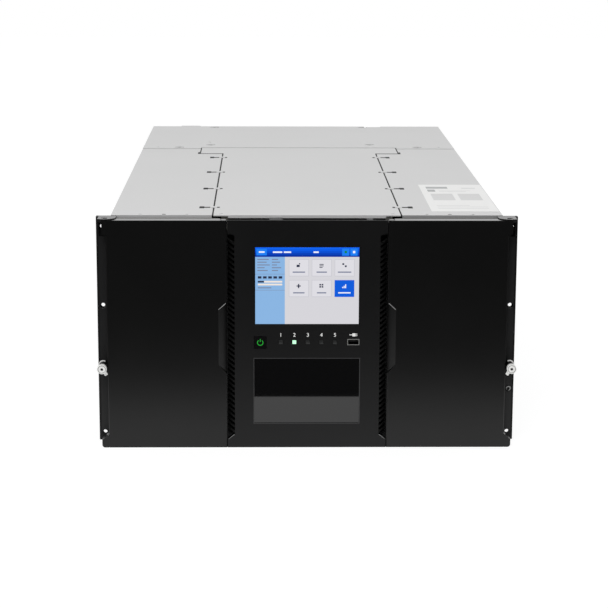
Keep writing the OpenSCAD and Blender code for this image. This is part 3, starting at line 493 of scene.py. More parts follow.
def select_faces(piece: Piece, test: FaceTest) -> None:
    """Enters edit mode with only the faces chosen that pass a test.

    Args:
        piece: Piece to edit.
        test: Says of a face whether it is chosen.
    """
    choose(piece)
    bpy.ops.object.mode_set(mode="EDIT")
    bpy.ops.mesh.select_mode(type="FACE")
    bpy.ops.mesh.select_all(action="DESELECT")
    mesh = bmesh.from_edit_mesh(piece.data)
    for face in mesh.faces:
        face.select_set(test(face))
    bmesh.update_edit_mesh(piece.data)


def facing(direction: Sequence[float]) -> FaceTest:
    """Returns a test for faces that look along a direction."""
    way = Vector(direction).normalized()
    return lambda face: face.normal.dot(way) > ALIGNED


def inset(piece: Piece, direction: Sequence[float], margin: float, depth: float) -> None:
    """Sinks or raises a panel in the faces that look along a direction.

    Args:
        piece: Piece to edit.
        direction: The way that the faces look.
        margin: Width of the rim that stays, metres.
        depth: How far the panel moves inwards; negative raises it.
    """
    select_faces(piece, facing(direction))
    bpy.ops.mesh.inset(thickness=margin, depth=0.0)
    way = Vector(direction).normalized() * -depth
    bpy.ops.mesh.extrude_region_move(TRANSFORM_OT_translate={"value": way})
    leave_edit_mode()


def hollow(piece: Piece, rim: float) -> None:
    """Opens a piece from front to back.

    Args:
        piece: Piece to edit.
        rim: Width of the rim that stays, metres.
    """
    select_faces(piece, lambda face: abs(face.normal.y) > ALIGNED)
    bpy.ops.mesh.inset(thickness=rim, depth=0.0)
    bpy.ops.mesh.bridge_edge_loops()
    leave_edit_mode()


def soften(piece: Piece, width: float, segments: int = 2, angle: float = 40.0) -> None:
    """Rounds the sharp edges of a piece and shades it smooth.

    Args:
        piece: Piece to finish.
        width: Width of the rounding, metres.
        segments: Faces across it.
        angle: Smallest angle of an edge that is rounded, degrees.
    """
    choose(piece)
    modifier = piece.modifiers.new("edges", "BEVEL")
    modifier.width = width
    modifier.segments = segments
    modifier.limit_method = "ANGLE"
    modifier.angle_limit = math.radians(angle)
    bpy.ops.object.modifier_apply(modifier=modifier.name)
    bpy.ops.object.shade_smooth_by_angle(angle=SMOOTH_BELOW)


def join(name: str, pieces: Sequence[Piece]) -> Piece:
    """Joins pieces into one object.

    Args:
        name: Name of the result.
        pieces: Pieces to join, of which the first gives the object.

    Returns:
        The joined object.
    """
    deselect_all()
    for piece in pieces:
        piece.select_set(True)
    bpy.context.view_layer.objects.active = pieces[0]
    if len(pieces) > 1:
        bpy.ops.object.join()
    result = bpy.context.view_layer.objects.active
    result.name = name
    result.data.name = name
    return result


def copies(piece: Piece, moves: Sequence[Sequence[float]]) -> list[Piece]:
    """Copies a piece, each copy with its own mesh.

    Args:
        piece: Piece to copy, which stays where it is.
        moves: How far each copy is moved, metres.

    Returns:
        The piece and its copies.
    """
    made = [piece]
    for index, move in enumerate(moves):
        twin = piece.copy()
        twin.data = piece.data.copy()
        twin.name = f"{piece.name}_{index + 2}"
        twin.data.transform(Matrix.Translation(Vector(move)))
        bpy.context.scene.collection.objects.link(twin)
        made.append(twin)
    return made


def mirrored(side: int, x: Sequence[float], y: Sequence[float], z: Sequence[float]) -> Box:
    """Returns the corners of a box that is given for the right side, on the left (-1) or the right (1)."""
    near, far = sorted(side * value for value in x)
    return (near, y[0], z[0]), (far, y[1], z[1])


def around(place: Sequence[float], *reach: Sequence[float]) -> Box:
    """Returns a box's corners, from where it starts and ends along each axis, in millimetres from a place."""
    low, high = ([start + end * MM for start, end in zip(place, ends)] for ends in zip(*reach))
    return low, high


def pads(name: str, boxes: Sequence[Box], rounding: float = 0.0, segments: int = 1) -> Piece:
    """Makes one piece of several blocks.

    Args:
        name: Name of the piece.
        boxes: Corners of each block.
        rounding: Width of the rounding of their edges, metres; none if 0.
        segments: Faces across it.

    Returns:
        The joined piece.
    """
    pieces = []
    for low, high in boxes:
        pieces.append(block(name, low, high))
        if rounding:
            soften(pieces[-1], rounding, segments)
    return join(name, pieces)


def finish_piece(piece: Piece, finish: Finish, body: str) -> None:
    """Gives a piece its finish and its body.

    Args:
        piece: Piece to hand over.
        finish: Finish of all its faces, unless they already have one.
        body: CAD body that it moves with.
    """
    deselect_all()
    if not piece.data.materials:
        piece.data.materials.append(finish.material())
    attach(piece, body)
    LOG.info("%s: %d faces on %s", piece.name, len(piece.data.polygons), body)


def dress(nodes: Sequence[str], finish: Finish) -> None:
    """Gives CAD nodes a finish.

    Args:
        nodes: Names of the nodes.
        finish: Finish that replaces what they were packed with.
    """
    for name in nodes:
        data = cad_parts[name].data
        data.materials.clear()
        data.materials.append(finish.material())


def lettering(name: str, words: str, at: Vector, size: float, thick: float) -> Piece:
    """Makes raised digits that face the front.

    Args:
        name: Name of the piece.
        words: Plain digits.
        at: Middle of the digits, metres.
        size: Height of a line, metres.
        thick: How far they stand out.

    Returns:
        A mesh object.
    """
    deselect_all()
    bpy.ops.object.text_add(location=at, rotation=(math.pi / 2, 0, 0))
    text = bpy.context.object
    text.data.body = words
    text.data.size = size
    text.data.align_x = "CENTER"
    text.data.align_y = "CENTER"
    text.data.extrude = thick / 2
    text.data.offset = size * 0.01
    bpy.ops.object.convert(target="MESH")
    return take(name)


# ---------------------------------------------------------------- display


@dataclass
class Display:
    """The picture on the touch screen, made of thin lit tiles under the glass.

    Places are fractions of the picture's width and height from its upper left corner.
    """

    face_y: float
    low: Vector
    high: Vector
    layer: float = 0.03 * MM
    first_button: tuple[float, float] = (0.325, 0.155)
    button_step: tuple[float, float] = (0.22, 0.27)
    button_size: tuple[float, float] = (0.19, 0.22)
    tiles: list[Piece] = field(default_factory=list)

    def tile(self, x: float, y: float, w: float, h: float, ink: ScreenInk, level: int = 1) -> None:
        """Adds one tile.

        Args:
            x: Left edge as a fraction of the width.
            y: Upper edge as a fraction of the height.
            w: Width as a fraction.
            h: Height as a fraction.
            ink: Its colour.
            level: Layer that it lies on, counted from the glass.
        """
        wide, tall = self.high.x - self.low.x, self.high.z - self.low.z
        front = self.face_y - self.layer * (level + 1)
        piece = block(
            "display_tile",
            (self.low.x + x * wide, front, self.high.z - (y + h) * tall),
            (self.low.x + (x + w) * wide, front + self.layer, self.high.z - y * tall),
        )
        piece.data.materials.append(ink.value.material())
        self.tiles.append(piece)

    def rows(self, x: float, y: float, widths: Sequence[float], ink: ScreenInk, step: float = 0.04) -> None:
        """Adds bars that stand for lines of words.

        Args:
            x: Left edge of the bars.
            y: Upper edge of the first bar.
            widths: Width of each bar.
            ink: Their colour.
            step: Distance from one bar to the next.
        """
        for index, width in enumerate(widths):
            self.tile(x, y + index * step, width, 0.012, ink, 2)

    def button(self, column: int, row: int, chosen: bool = False) -> None:
        """Adds one of the page's large buttons: a mark over a bar for its word.

        Args:
            column: Column from the left.
            row: Row from the top.
            chosen: Whether it is the highlighted one.
        """
        x = self.first_button[0] + column * self.button_step[0]
        y = self.first_button[1] + row * self.button_step[1]
        w, h = self.button_size
        self.tile(x, y, w, h, ScreenInk.CHOSEN if chosen else ScreenInk.EDGE, 2)
        if not chosen:
            self.tile(x + 0.003, y + 0.004, w - 0.006, h - 0.009, ScreenInk.BUTTON, 3)
        kind = column + 3 * row
        self.mark(x + w / 2 - 0.022, y + 0.05, kind, ScreenInk.LIGHT if chosen else ScreenInk.INK)
        word = (0.12, 0.10, 0.13, 0.11, 0.09, 0.12)[kind]
        self.tile(x + (w - word) / 2, y + 0.158, word, 0.016,
                  ScreenInk.LIGHT if chosen else ScreenInk.FAINT, 4)

    def mark(self, x: float, y: float, kind: int, ink: ScreenInk) -> None:
        """Adds a plain geometric mark to a button.

        Args:
            x: Left edge of the mark.
            y: Upper edge of the mark.
            kind: Which of the six marks.
            ink: Its colour.
        """
        marks: tuple[tuple[tuple[float, float, float, float], ...], ...] = (
            ((0, 0.02, 0.03, 0.03), (0.022, 0, 0.012, 0.014)),
            ((0, 0.01, 0.04, 0.01), (0, 0.03, 0.04, 0.01), (0, 0.05, 0.03, 0.01)),
            ((0, 0, 0.018, 0.022), (0.024, 0.028, 0.018, 0.022)),
            ((0.014, 0, 0.012, 0.055), (0, 0.02, 0.04, 0.014)),
            (
                (0, 0, 0.016, 0.02), (0.022, 0, 0.016, 0.02),
                (0, 0.028, 0.016, 0.02), (0.022, 0.028, 0.016, 0.02),
            ),
            ((0, 0.04, 0.01, 0.015), (0.014, 0.025, 0.01, 0.03), (0.028, 0.005, 0.01, 0.05)),
        )
        for left, top, wide, tall in marks[kind]:
            self.tile(x + left, y + top, wide, tall, ink, 4)

    def build(self) -> Piece:
        """Builds the whole picture and returns it as one piece."""
        ink = ScreenInk
        self.tile(0, 0, 1, 1, ink.PAGE, 0)
        band = 0.0246
        for index, bar in enumerate((ink.BAR_1, ink.BAR_2, ink.BAR_3, ink.BAR_4, ink.BAR_5)):
            self.tile(0, index * band, 1, band, bar)
        self.tile(0, 0.123, 0.285, 0.877, ink.SIDE)
        # title bar: one wide tile, two bars of words, then two small tiles
        self.tile(0.012, 0.018, 0.10, 0.085, ink.TILE, 2)
        self.tile(0.035, 0.05, 0.055, 0.02, ink.LIGHT, 3)
        for left, wide in ((0.17, 0.09), (0.275, 0.07), (0.56, 0.05)):
            self.tile(left, 0.052, wide, 0.02, ink.LIGHT, 2)
        for left, shade in ((0.835, ink.GREEN), (0.915, ink.LIGHT)):
            self.tile(left, 0.015, 0.068, 0.092, ink.TILE, 2)
            self.tile(left + 0.024, 0.045, 0.022, 0.03, shade, 3)
        # side column: a block of lines, a gauge and a row of squares
        self.rows(0.02, 0.15, (0.11, 0.09, 0.12, 0.07, 0.10), ink.FAINT, 0.036)
        self.rows(0.16, 0.15, (0.06, 0.08, 0.05, 0.09, 0.06), ink.FAINT, 0.036)
        self.tile(0, 0.345, 0.285, 0.004, ink.FAINT, 2)
        for left in (0.025, 0.075, 0.125, 0.175, 0.225):
            self.tile(left, 0.375, 0.035, 0.03, ink.INK, 2)
        self.tile(0.025, 0.435, 0.235, 0.022, ink.CREAM, 2)
        self.tile(0.025, 0.435, 0.06, 0.022, ink.INK, 3)
        self.tile(0.025, 0.472, 0.235, 0.022, ink.CREAM, 2)
        self.rows(0.025, 0.52, (0.13,), ink.FAINT)
        self.tile(0, 0.555, 0.285, 0.004, ink.FAINT, 2)
        for row in range(2):
            for column in range(3):
                self.button(column, row, chosen=(column == 2 and row == 1))
        return join("display_picture", self.tiles)


# ---------------------------------------------------------------- sub-assemblies


@dataclass
class TopCovers:
    """The pale covers, their screws' sockets and the label on the right one.

    Places across are counted from the middle, and depths from the doors' face.
    """

    label_size: tuple[float, float] = (78 * MM, 208 * MM)
    label_from_seam: float = 35.8 * MM
    label_from_front: float = 27 * MM
    film: float = 0.15 * MM
    # screws in dimples
    dimples: tuple[tuple[float, float], ...] = (
        (-127 * MM, 649 * MM), (104 * MM, 652 * MM), (-127 * MM, 864 * MM), (104 * MM, 864 * MM),
        (-171 * MM, 622 * MM), (171 * MM, 622 * MM),
    )
    # hooks along each seam, and the slots beside each: both edges from the seam, and half the length
    hooks: tuple[float, ...] = (84 * MM, 229 * MM, 373 * MM, 516 * MM)
    slots: tuple[tuple[float, float, float], ...] = (
        (4.3 * MM, 11.6 * MM, 3.2 * MM), (11.2 * MM, 16.8 * MM, 6.6 * MM), (-6.8 * MM, -3.9 * MM, 3.6 * MM),
    )
    foam_edge: float = 0.08 * MM
    rivet_at: tuple[float, float] = (163 * MM, 34 * MM)
    rivet_size: tuple[float, float] = (2.1 * MM, 0.7 * MM)      # radius and length
    cross: Reach = ((-1.9, 1.9), (-0.4, 0.4))                   # the long and the short way of a bar
    cross_z: tuple[float, float] = (-0.05, 0.02)
    seam_x: float = 107.5 * MM
    step_x: tuple[float, float] = (138.5 * MM, 140.1 * MM)
    step_y: tuple[float, float] = (553.5 * MM, 558.4 * MM)
    relief: float = 12 * MM             # depth of the relief behind the step's corner

    def dress(self) -> None:
        """Coats the covers."""
        dress(["centre_top_cover", "rear_top_cover"], COVER_STEEL)
        # the side covers carry painted shade on their faces that look to the front
        dress(["left_top_cover"], LEFT_COVER_PAINTED_SHADE)
        dress(["right_top_cover"], RIGHT_COVER_PAINTED_SHADE)
        dress(["cover_screws"], ZINC_SCREW)

    def label(self) -> None:
        """Lays a bare printed label on the right cover: a white film with plain grey fields."""
        low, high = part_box("right_top_cover")
        left, front, top = low.x + self.label_from_seam, low.y + self.label_from_front, high.z
        width, depth = self.label_size
        corners = (left, front, top), (left + width, front + depth, top + self.film)
        finish_piece(pads("cover_label", [corners], 0.06 * MM), LABEL_FILM, "chassis")
        fields = []
        plan = (
            (0.10, 0.84, 0.34, 0.07, LABEL_GREY), (0.10, 0.72, 0.12, 0.08, LABEL_GREY),
            (0.28, 0.75, 0.50, 0.012, LABEL_PALE), (0.28, 0.72, 0.42, 0.012, LABEL_PALE),
            (0.12, 0.40, 0.34, 0.24, LABEL_PALE), (0.54, 0.40, 0.34, 0.24, LABEL_PALE),
            (0.12, 0.10, 0.76, 0.012, LABEL_PALE), (0.12, 0.15, 0.76, 0.012, LABEL_PALE),
            (0.12, 0.20, 0.50, 0.012, LABEL_PALE), (0.66, 0.84, 0.22, 0.03, LABEL_PALE),
        )
        for x, y, w, d, ink in plan:
            piece = block(
                "label_field",
                (left + x * width, front + y * depth, top + self.film),
                (left + (x + w) * width, front + (y + d) * depth, top + self.film * 1.2),
            )
            piece.data.materials.append(ink.material())
            fields.append(piece)
        finish_piece(join("label_fields", fields), LABEL_GREY, "chassis")

    def shade_strips(self) -> None:
        """Lays black foam as painted shade in the seams and the gaps round the step, and edges the hooks'
        slots with it.
        """
        top, seam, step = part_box("left_top_cover")[1].z, self.seam_x, self.step_x
        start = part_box("left_top_cover")[0].y + 1.5 * MM
        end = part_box("rear_top_cover")[0].y + 11 * MM
        step_y = [FRONT + y for y in self.step_y]
        relief_y = step_y[1] + self.relief
        # across, in depth, and in millimetres up from the covers' top
        plan = [
            ((seam + near, seam + far), (FRONT + hook - half, FRONT + hook + half), (-0.9, 0.1))
            for hook in self.hooks for near, far, half in self.slots
        ]
        plan += [
            ((seam - 0.85 * MM, seam + 0.85 * MM), (start, step_y[0]), (-1.0, -0.4)),
            ((seam - 0.8 * MM, step[0]), step_y, (-0.6, 0.06)),
            ((step[0] - 1 * MM, step[1] + 2.4 * MM), step_y, (-0.6, 0.1)),
            ((step[0] + 0.1 * MM, step[1] + 2.4 * MM), (step_y[1], relief_y), (-0.6, 0.1)),
            (step, (relief_y, end), (-0.9, -0.25)),
        ]
        for name, side in SIDES.items():
            boxes = [mirrored(side, x, y, [top + height * MM for height in z]) for x, y, z in plan]
            finish_piece(pads(f"{name}_cover_seals", boxes, self.foam_edge), FOAM_PAINTED_SHADE, "chassis")

    def rivets(self) -> None:
        """Sets one blind rivet, coloured dark as painted shade in the dimple, near the front of each side
        cover.
        """
        across, depth = self.rivet_at
        at = (-across, FRONT + depth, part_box("left_top_cover")[1].z - 0.15 * MM)
        rivet = disc("rivet", at, *self.rivet_size, Axis.Z, 24)
        inset(rivet, (0, 0, 1), 1.1 * MM, 0.3 * MM)
        soften(rivet, 0.12 * MM)
        rivets = join("cover_rivets", copies(rivet, [(2 * across, 0, 0)]))
        finish_piece(rivets, RIVET_PAINTED_SHADE, "chassis")

    def sockets(self) -> None:
        """Sinks a dark cross into the head of each screw in a dimple."""
        first_x, first_y = self.dimples[0]
        at = Vector((first_x, FRONT + first_y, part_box("right_top_cover")[1].z))
        bars = [around(at, x, y, self.cross_z) for x, y in (self.cross, self.cross[::-1])]
        cross = pads("screw_cross", bars)
        moves = [(x - first_x, y - first_y, 0) for x, y in self.dimples[1:]]
        finish_piece(join("screw_crosses", copies(cross, moves)), DARK_RECESS, "chassis")


@dataclass
class Chassis:
    """Panels, frames and the fixed inner metalwork."""

    def dress(self) -> None:
        """Gives each fixed node the sheet or moulding that it is made of."""
        dress(["floor_pan", "left_side_panel", "right_side_panel", "rear_panel"], ZINC_STEEL)
        dress(["front_frame"], FRAME_STEEL)
        dress(["rack_ears"], POWDER_BLACK)
        dress(["ear_trims"], BLACK_NYLON)
        dress(["magazine_runners", "bay_walls"], INNER_STEEL)
        dress(["lift_racks"], ACETAL)
        dress(["library_controller"], CASE_ALUMINIUM)
        dress(["controller_ports"], DARK_NICKEL)


@dataclass
class Controls:
    """The middle bezel with its screen, lights, button, socket and window."""

    caption_rise: float = 8.3 * MM
    channel_x: float = 82.4 * MM
    channel_foot: tuple[float, float] = (10.0 * MM, 15.5 * MM)   # slanting foot of a louvre channel
    light_count: int = 5
    lit: int = 1
    picture_x: tuple[float, float] = (-59 * MM, 58.4 * MM)
    picture_drop: float = 5.1 * MM      # from the top of the panel to the picture
    picture_tall: float = 88.4 * MM
    picture_rim: float = 1.3 * MM
    symbol_r: tuple[float, float] = (3.6 * MM, 2.7 * MM)
    symbol_gap: float = math.radians(32)            # from the ring's top to either end of it
    symbol_bar: Reach = ((-0.45, 0.45), (-0.06, 0), (0.9, 4.2))
    lens_stand: float = 0.25 * MM
    lens_edge: float = 0.12 * MM
    caption_size: float = 6.0 * MM
    plug_rise: float = 5.1 * MM         # from the socket's top to the middle of its mark
    plug: Reach = (                     # each part's ends across and up, millimetres
        (-4.6, -1.2, -0.45, 0.45), (-1.2, 2.2, -1.8, 1.8), (2.2, 4.4, 0.5, 1.3), (2.2, 4.4, -1.3, -0.5),
    )
    # radius of the painted highlight rods at the channels' feet
    edge_r: float = 0.34 * MM
    flange_grow: float = 0.2 * MM       # how far the flange reaches past the socket
    flange_rim: float = 0.7 * MM
    flange_y: tuple[float, float] = (-0.35 * MM, 0.1 * MM)      # counted from the bezel's face
    window_rim: float = 0.9 * MM
    rim_y: tuple[float, float] = (-0.12 * MM, 0.1 * MM)
    # strip in the gap's foot: outwards, back and up from the bezel's lower corner, millimetres
    gap_shade_strip: Reach = ((0.04, 0.34), (1.2, 12), (0.1, 14))

    def dress(self) -> None:
        """Coats the bezel and what is set in it."""
        dress(["centre_bezel"], BEZEL_ABS)
        # painted shade: the louvres are drawn darker than black ABS, for the shade deep in their channel
        dress(["vent_louvres"], DEEP_SHADE_ABS)
        dress(["touch_screen"], BORDER_GLASS)
        dress(["view_window"], TINTED_ACRYLIC)
        dress(["status_lights"], LIGHT_PIPE)
        dress(["usb_socket"], SOCKET_LCP)
        dress(["power_button"], BORDER_GLASS)

    def screen(self) -> None:
        """Builds the lit picture."""
        low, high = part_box("touch_screen")
        top = high.z - self.picture_drop
        left, right = self.picture_x
        foot = Vector((left, low.y, top - self.picture_tall))
        picture = Display(low.y, foot, Vector((right, low.y, top))).build()
        finish_piece(picture, ScreenInk.PAGE.value, "chassis")

    def lights(self) -> None:
        """Caps each light pipe with a small lens, one of them lit, and numbers them."""
        low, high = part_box("status_lights")
        wide = high.z - low.z
        pitch = (high.x - low.x - wide) / (self.light_count - 1)
        level = (low.z + high.z) / 2 + self.caption_rise
        captions = []
        for index in range(self.light_count):
            left = low.x + index * pitch
            corners = (left, low.y - self.lens_stand, low.z), (left + wide, low.y, high.z)
            lens = pads(f"light_lens_{index + 1}", [corners], self.lens_edge, 2)
            finish_piece(lens, LIT_PIPE if index == self.lit else LIGHT_PIPE, "chassis")
            at = Vector((left + wide / 2, BEZEL_LOW.y - 0.03 * MM, level))
            captions.append(lettering("caption", str(index + 1), at, self.caption_size, PRINT))
        finish_piece(join("light_numbers", captions), WHITE_INK, "chassis")

    def power_symbol(self) -> None:
        """Prints the power symbol on the button: an open ring and a bar."""
        centre = middle("power_button")
        centre.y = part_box("power_button")[0].y
        outer, inner = self.symbol_r
        deselect_all()
        turn = (math.pi / 2, 0, 0)
        bpy.ops.mesh.primitive_circle_add(vertices=48, radius=outer, location=centre, rotation=turn)
        ring = take("power_ring")
        bpy.ops.object.mode_set(mode="EDIT")
        mesh = bmesh.from_edit_mesh(ring.data)
        for vertex in mesh.verts:
            away = vertex.co - centre
            vertex.select_set(abs(math.atan2(away.x, away.z)) < self.symbol_gap)
        mesh.select_flush_mode()
        bmesh.update_edit_mesh(ring.data)
        bpy.ops.mesh.delete(type="VERT")
        bpy.ops.mesh.select_all(action="SELECT")
        bpy.ops.mesh.extrude_edges_move()
        bpy.ops.transform.resize(value=(inner / outer, 1, inner / outer), center_override=centre)
        bpy.ops.mesh.select_all(action="SELECT")
        outwards = (0, self.symbol_bar[1][0] * MM, 0)
        bpy.ops.mesh.extrude_region_move(TRANSFORM_OT_translate={"value": outwards})
        bpy.ops.mesh.select_all(action="SELECT")
        bpy.ops.mesh.normals_make_consistent(inside=False)
        leave_edit_mode()
        bar = block("power_bar", *around(centre, *self.symbol_bar))
        finish_piece(join("power_symbol", [ring, bar]), GREEN_INK, "power_button")

    def _frame(self, name: str, corners: Box, rim: float, rounding: float) -> Piece:
        """Makes a rounded frame: a block with an opening from front to back.

        Args:
            name: Name of the piece.
            corners: Its corners.
            rim: Width of its rim, metres.
            rounding: Width of the rounding of its edges.

        Returns:
            The piece.
        """
        piece = block(name, *corners)
        hollow(piece, rim)
        soften(piece, rounding)
        return piece

    def socket_flange(self) -> None:
        """Frames the socket with its plated flange, clear of the opening."""
        low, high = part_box("usb_socket")
        grow = self.flange_grow
        front, back = (BEZEL_LOW.y + y for y in self.flange_y)
        corners = (low.x - grow, front, low.z - grow), (high.x + grow, back, high.z + grow)
        flange = self._frame("socket_flange", corners, self.flange_rim, 0.12 * MM)
        finish_piece(flange, TIN_PLATE, "chassis")

    def plug_mark(self) -> None:
        """Prints a small plain plug over the socket: a cord, a body and two prongs."""
        at = middle("usb_socket").x, BEZEL_LOW.y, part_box("usb_socket")[1].z + self.plug_rise
        boxes = [around(at, (x0, x1), (-PRINT / MM, 0), (z0, z1)) for x0, x1, z0, z1 in self.plug]
        finish_piece(pads("plug_mark", boxes), WHITE_INK, "chassis")

    def channel_highlights(self) -> None:
        """Lays a pale rod along the slanting lower edge of each louvre channel: a painted highlight."""
        across = BEZEL_HIGH.x - 0.8 * MM, self.channel_x + 0.5 * MM
        for name, side in SIDES.items():
            ends = [(side * x, BEZEL_LOW.y + 0.3 * MM, z) for x, z in zip(across, self.channel_foot)]
            edge = rod(f"{name}_channel_edge", *ends, self.edge_r)
            finish_piece(edge, EDGE_HIGHLIGHT, "chassis")

    def gap_seals(self) -> None:
        """Closes the foot of the gap between the bezel and each door with a strip of black foam: painted
        shade.
        """
        low, high = around((BEZEL_HIGH.x, BEZEL_LOW.y, BEZEL_LOW.z), *self.gap_shade_strip)
        boxes = [mirrored(side, *zip(low, high)) for side in SIDES.values()]
        shade_strips = pads("bezel_gap_seals", boxes, 0.05 * MM)
        finish_piece(shade_strips, FOAM_PAINTED_SHADE, "chassis")

    def rims(self) -> None:
        """Sets a thin bevelled rim round the window and the screen."""
        width = self.window_rim
        front, back = (BEZEL_LOW.y + y for y in self.rim_y)
        low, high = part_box("view_window")
        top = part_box("touch_screen")[1].z - self.picture_drop
        (left, right), grow = self.picture_x, self.picture_rim
        window = (low.x - width, front, low.z - width), (high.x + width, back, high.z + width)
        screen = (left - grow, front, top - self.picture_tall - grow), (right + grow, back, top + grow)
        # the window's rim is lighter grey: a painted highlight along its edge
        for name, corners, finish in (("window_rim", window, RIM_HIGHLIGHT_GREY), ("screen_rim", screen, BEZEL_ABS)):
            finish_piece(self._frame(name, corners, width, 0.08 * MM), finish, "chassis")


@dataclass
class Magazine:
    """One pull-out magazine behind its door."""

    side: str
    # ends of the grip's upper edge: across and up
    grip: Reach = ((100.6 * MM, 162.2 * MM), (92.4 * MM, 169.6 * MM))
    edge_r: float = 0.42 * MM
    # seams beside the two corner pieces: across, then up
    seam_x: tuple[float, float] = (226.0 * MM, 227.5 * MM)
    seam_z: Reach = ((0.9 * MM, 14.2 * MM), (246.6 * MM, 263.8 * MM))
    seam_y: tuple[float, float] = (0.02 * MM, 0.9 * MM)         # counted from the door's face

    def dress(self) -> None:
        """Gives the door and what is behind it their finishes."""
        dress([f"{self.side}_door"], DOOR_ABS)
        dress([f"{self.side}_magazine_frame"], ALUMINIUM)
        dress([f"{self.side}_magazine_trays", f"{self.side}_magazine_dividers"], TRAY_ABS)
        dress([f"{self.side}_tape_springs"], SPRING_STEEL)

    def grip_highlight(self) -> None:
        """Lays a pale rod along the slanting upper edge of the finger grip: a painted highlight."""
        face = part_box(f"{self.side}_door")[0].y
        ends = [(SIDES[self.side] * x, face + 0.1 * MM, z) for x, z in self.grip]
        edge = rod(f"{self.side}_grip_edge", *ends, self.edge_r)
        finish_piece(edge, EDGE_HIGHLIGHT, f"{self.side}_magazine")

    def corner_seams(self) -> None:
        """Fills the seams between the door and its two corner pieces."""
        depth = [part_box(f"{self.side}_door")[0].y + y for y in self.seam_y]
        boxes = [mirrored(SIDES[self.side], self.seam_x, depth, z) for z in self.seam_z]
        seams = pads(f"{self.side}_corner_seams", boxes, 0.05 * MM)
        finish_piece(seams, DOOR_ABS, f"{self.side}_magazine")


